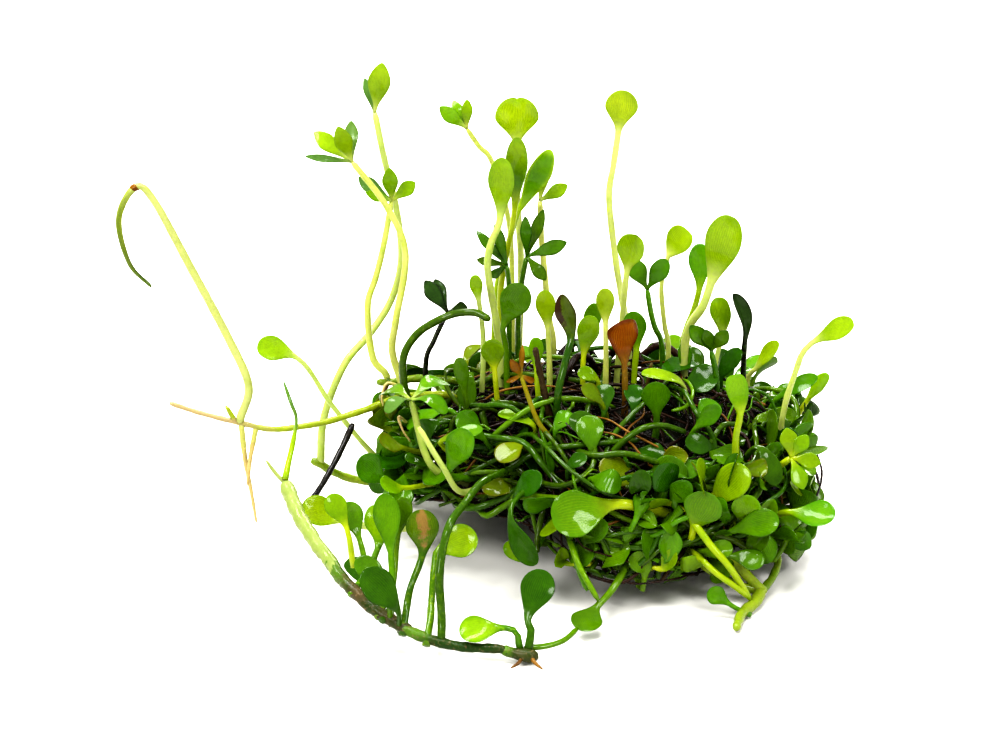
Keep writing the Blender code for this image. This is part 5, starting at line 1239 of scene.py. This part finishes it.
def grow_creepers(materials, dice):
    """Smooth green stems that arch over the mat's side, and the stalks and stems of the tables."""
    groups = {kind: [] for kind in ("stem", "deep", "mature", "young", "grass", "fresh")}
    kept_clear = spline_through(FRONDS["bright_front_frond"][-1])
    smooth = dict(around=14, rough=0.02, blade_from=1.0)
    for k in range(THICK_CREEPERS):
        # Three in four start in front, the others anywhere
        start_at = (0.2, 0.8, -np.pi / 2 + 0.1, 1.0) if k % 4 else (0.2, 0.8)
        route = route_over_mat(dice, start_at, (0.4, 1.1), (-1.4, 0.0), (0.8, 4.2), 0.07, 6)
        route = np.clip(route, *ROOM)
        radius = dice.uniform(0.28, 0.46)
        middle = route[2:4].mean(axis=0)
        in_the_way = np.linalg.norm(kept_clear - middle, axis=1).min() < CLEAR_OF_FRONT
        if in_the_way or middle[2] < CREEPERS_ABOVE:
            continue
        groups[CREEPER_KINDS[k % len(CREEPER_KINDS)]].append(
            stem_shape(route, radius, radius * 0.8, shade=dice.random(), **smooth))
    for kind, first, last, route in STALKS:
        groups[kind].append(stem_shape(route, first, last, shade=0.9, **smooth))
    for k in range(THIN_CREEPERS):
        route = route_over_mat(dice, (0.05, 0.85), (0.15, 0.5), (-1.4, 0.2), (0.6, 3.0), 0.12, 5)
        route = np.clip(route, *ROOM)
        radius = dice.uniform(0.12, 0.22)
        groups[CREEPER_KINDS[k % len(CREEPER_KINDS)]].append(
            stem_shape(route, radius, radius * 0.7, shade=dice.random(), around=8, fine=0.6,
                       blade_from=1.0))
    for kind, radius, route in CROSSING_STEMS:
        groups[kind].append(stem_shape(route, radius, radius * 0.8, shade=dice.random(), **smooth))
    for kind, radius, route in NODE_STALKS:
        groups[kind].append(stem_shape(route, radius, radius * 0.85, **smooth))
    pieces_by_kind("creepers_", groups, materials)


def taken_places():
    """Points along the blades and upper stalks of the fronds in the tables."""
    places = []
    for *_, route in [*FRONDS.values(), *SMALL_FRONDS]:
        curve = spline_through(route)
        places += list(curve[len(curve) // 2::6])
    places += list(spline_through(FRONDS["bright_front_frond"][-1])[::4])
    for *_, route, leaflets in CLOVERS.values():
        places += [np.array(place, dtype=float) for place in (*(tip for tip, _ in leaflets), route[-1])]
    return places


def draw_place(dice, attempt):
    """Turn and height of a place for a low frond, spread as the attempt's number says."""
    # Two in five in front, the others anywhere
    front = attempt % 5 < 2
    around = dice.normal(-np.pi / 2 + 0.25, 0.8) if front else dice.uniform(-np.pi, np.pi)
    # One in ten about the hollow
    if attempt % 10 == 4:
        around = dice.normal(MAT_HOLLOW[1] - 0.3, 0.4)
    z = dice.uniform(0.02, 0.74)
    # One in ten high up at the right
    if attempt % 10 == 8:
        around, z = dice.normal(-0.5, 0.5), dice.uniform(0.6, 0.93)
    return around, z


def grow_low_fronds(materials, dice):
    """Low fronds on the mat: those of the tables, and others clear of every blade around them.

    They are lighter low in front, darker in the middle as painted shade, and mixed elsewhere.
    """
    groups = {kind: [] for kind in ("deep", "mature", "grass", "olive", "lime")}
    taken = taken_places()
    by_hand = dict(radii=(0.36, 0.3), around=14, blade_rows=16, ripple=0.05)
    for kind, face, blade, route in TOP_FRONDS:
        groups[kind].append(frond_shape(route, face, blade, shade=dice.random(), **by_hand))
        taken.append((np.array(route[-1]) + route[-2]) / 2)
    grown = 0
    for attempt in range(PLACES_DRAWN):
        if grown == LOW_FRONDS:
            break
        around, z = draw_place(dice, attempt)
        long = dice.uniform(2.8, 5.6)
        tall = dice.uniform(0.6, 5.0)
        wide = long * dice.uniform(0.32, 0.47)
        route, shape = low_frond(dice, way_out(around, z), tall, long, wide)
        middle = (route[-1] + route[-2]) / 2
        # A frond keeps a fifth of its length and a little more from the next
        crowded = np.linalg.norm(np.array(taken) - middle, axis=1).min() < 0.2 * long + 1.1
        highest = HIGHEST_AT_RIGHT if middle[0] > 8 else HIGHEST
        outside = not LOWEST <= middle[2] <= highest or (in_hollow(around) and z < 0.5)
        # The middle of the clump, darkened with dark kinds as painted shade, where every second frond is
        # left out
        in_shaded_middle = -8 < middle[0] < 7 and middle[2] > 10
        if crowded or outside or (in_shaded_middle and attempt % 2):
            continue
        taken.append(middle)
        in_front = z < 0.45 and route[-1][1] < -10
        kinds = FRONT_FRONDS if in_front else SHADED_MIDDLE_FRONDS if in_shaded_middle else UPPER_FRONDS
        groups[dice.choice(kinds)].append(shape)
        grown += 1
    for kind, face, blade, route in RUNNER_FRONDS:
        groups[kind].append(frond_shape(route, face, blade, shade=0.5, **by_hand))
    pieces_by_kind("low_fronds_", groups, materials)


# Studio lights: name, place, size and power
LIGHTS = (
    ("key", (-0.25, 0.12, 0.6), 0.3, 5.5), ("back", (0.2, 0.6, 0.45), 0.3, 4.5),
    ("left", (-0.3, -0.35, 0.45), 0.22, 2.8), ("right", (0.36, -0.25, 0.42), 0.16, 1.5),
    ("top", (0.05, -0.2, 0.6), 0.2, 2.4),
)
# Where the lights point, and half the width of the floor
LIGHTS_AIM = (0.0, 0.0, 0.02)
FLOOR_HALF = 3.0

# Camera at the photographed angle: what it looks at, how far off, elevation, lens and film in mm
LOOKS_AT = (-0.011, 0.0, 0.020)
DISTANCE = 0.45
ELEVATION = math.radians(22)
LENS, FILM = 135, 36


def studio():
    """Pale floor, soft light from above and behind, and a camera at the photographed angle."""
    scene = bpy.context.scene
    mesh = bpy.data.meshes.new("floor")
    corners = [(x * FLOOR_HALF, y * FLOOR_HALF, 0) for x, y in ((-1, -1), (1, -1), (1, 1), (-1, 1))]
    mesh.from_pydata(corners, [], [(0, 1, 2, 3)])
    floor = bpy.data.objects.new("floor", mesh)
    scene.collection.objects.link(floor)
    paint = bpy.data.materials.new("pale floor")
    paint.use_nodes = True
    shader = paint.node_tree.nodes["Principled BSDF"]
    shader.inputs["Base Color"].default_value = (0.64, 0.625, 0.59, 1)
    shader.inputs["Roughness"].default_value = 0.7
    shader.inputs["Specular IOR Level"].default_value = 0.2
    mesh.materials.append(paint)

    world = bpy.data.worlds.new("pale room")
    scene.world = world
    world.use_nodes = True
    world.node_tree.nodes["Background"].inputs["Color"].default_value = (1, 1, 1, 1)
    world.node_tree.nodes["Background"].inputs["Strength"].default_value = 0.85

    for name, place, size, power in LIGHTS:
        data = bpy.data.lights.new(name, "AREA")
        data.shape = "DISK"
        data.size = size
        data.energy = power
        light = bpy.data.objects.new(name, data)
        light.location = place
        aim = np.array(LIGHTS_AIM) - np.array(place)
        light.rotation_euler = (math.atan2(math.hypot(aim[0], aim[1]), -aim[2]), 0,
                                math.atan2(-aim[0], aim[1]))
        scene.collection.objects.link(light)

    lens = bpy.data.cameras.new("camera")
    lens.lens = LENS
    lens.sensor_width = FILM
    lens.clip_start = 0.01
    camera = bpy.data.objects.new("camera", lens)
    x, y, z = LOOKS_AT
    camera.location = (x, y - DISTANCE * math.cos(ELEVATION), z + DISTANCE * math.sin(ELEVATION))
    camera.rotation_euler = (math.pi / 2 - ELEVATION, 0, 0)
    scene.collection.objects.link(camera)
    scene.camera = camera
    scene.view_settings.view_transform = "Standard"
    scene.view_settings.look = "High Contrast"
    scene.view_settings.exposure = 0.0


materials = make_materials()
dice = np.random.default_rng(SEED)
for grow in (grow_fronds, grow_clovers, grow_stems, grow_small_fronds, grow_roots, grow_creepers,
             grow_low_fronds):
    grow(materials, dice)
studio()
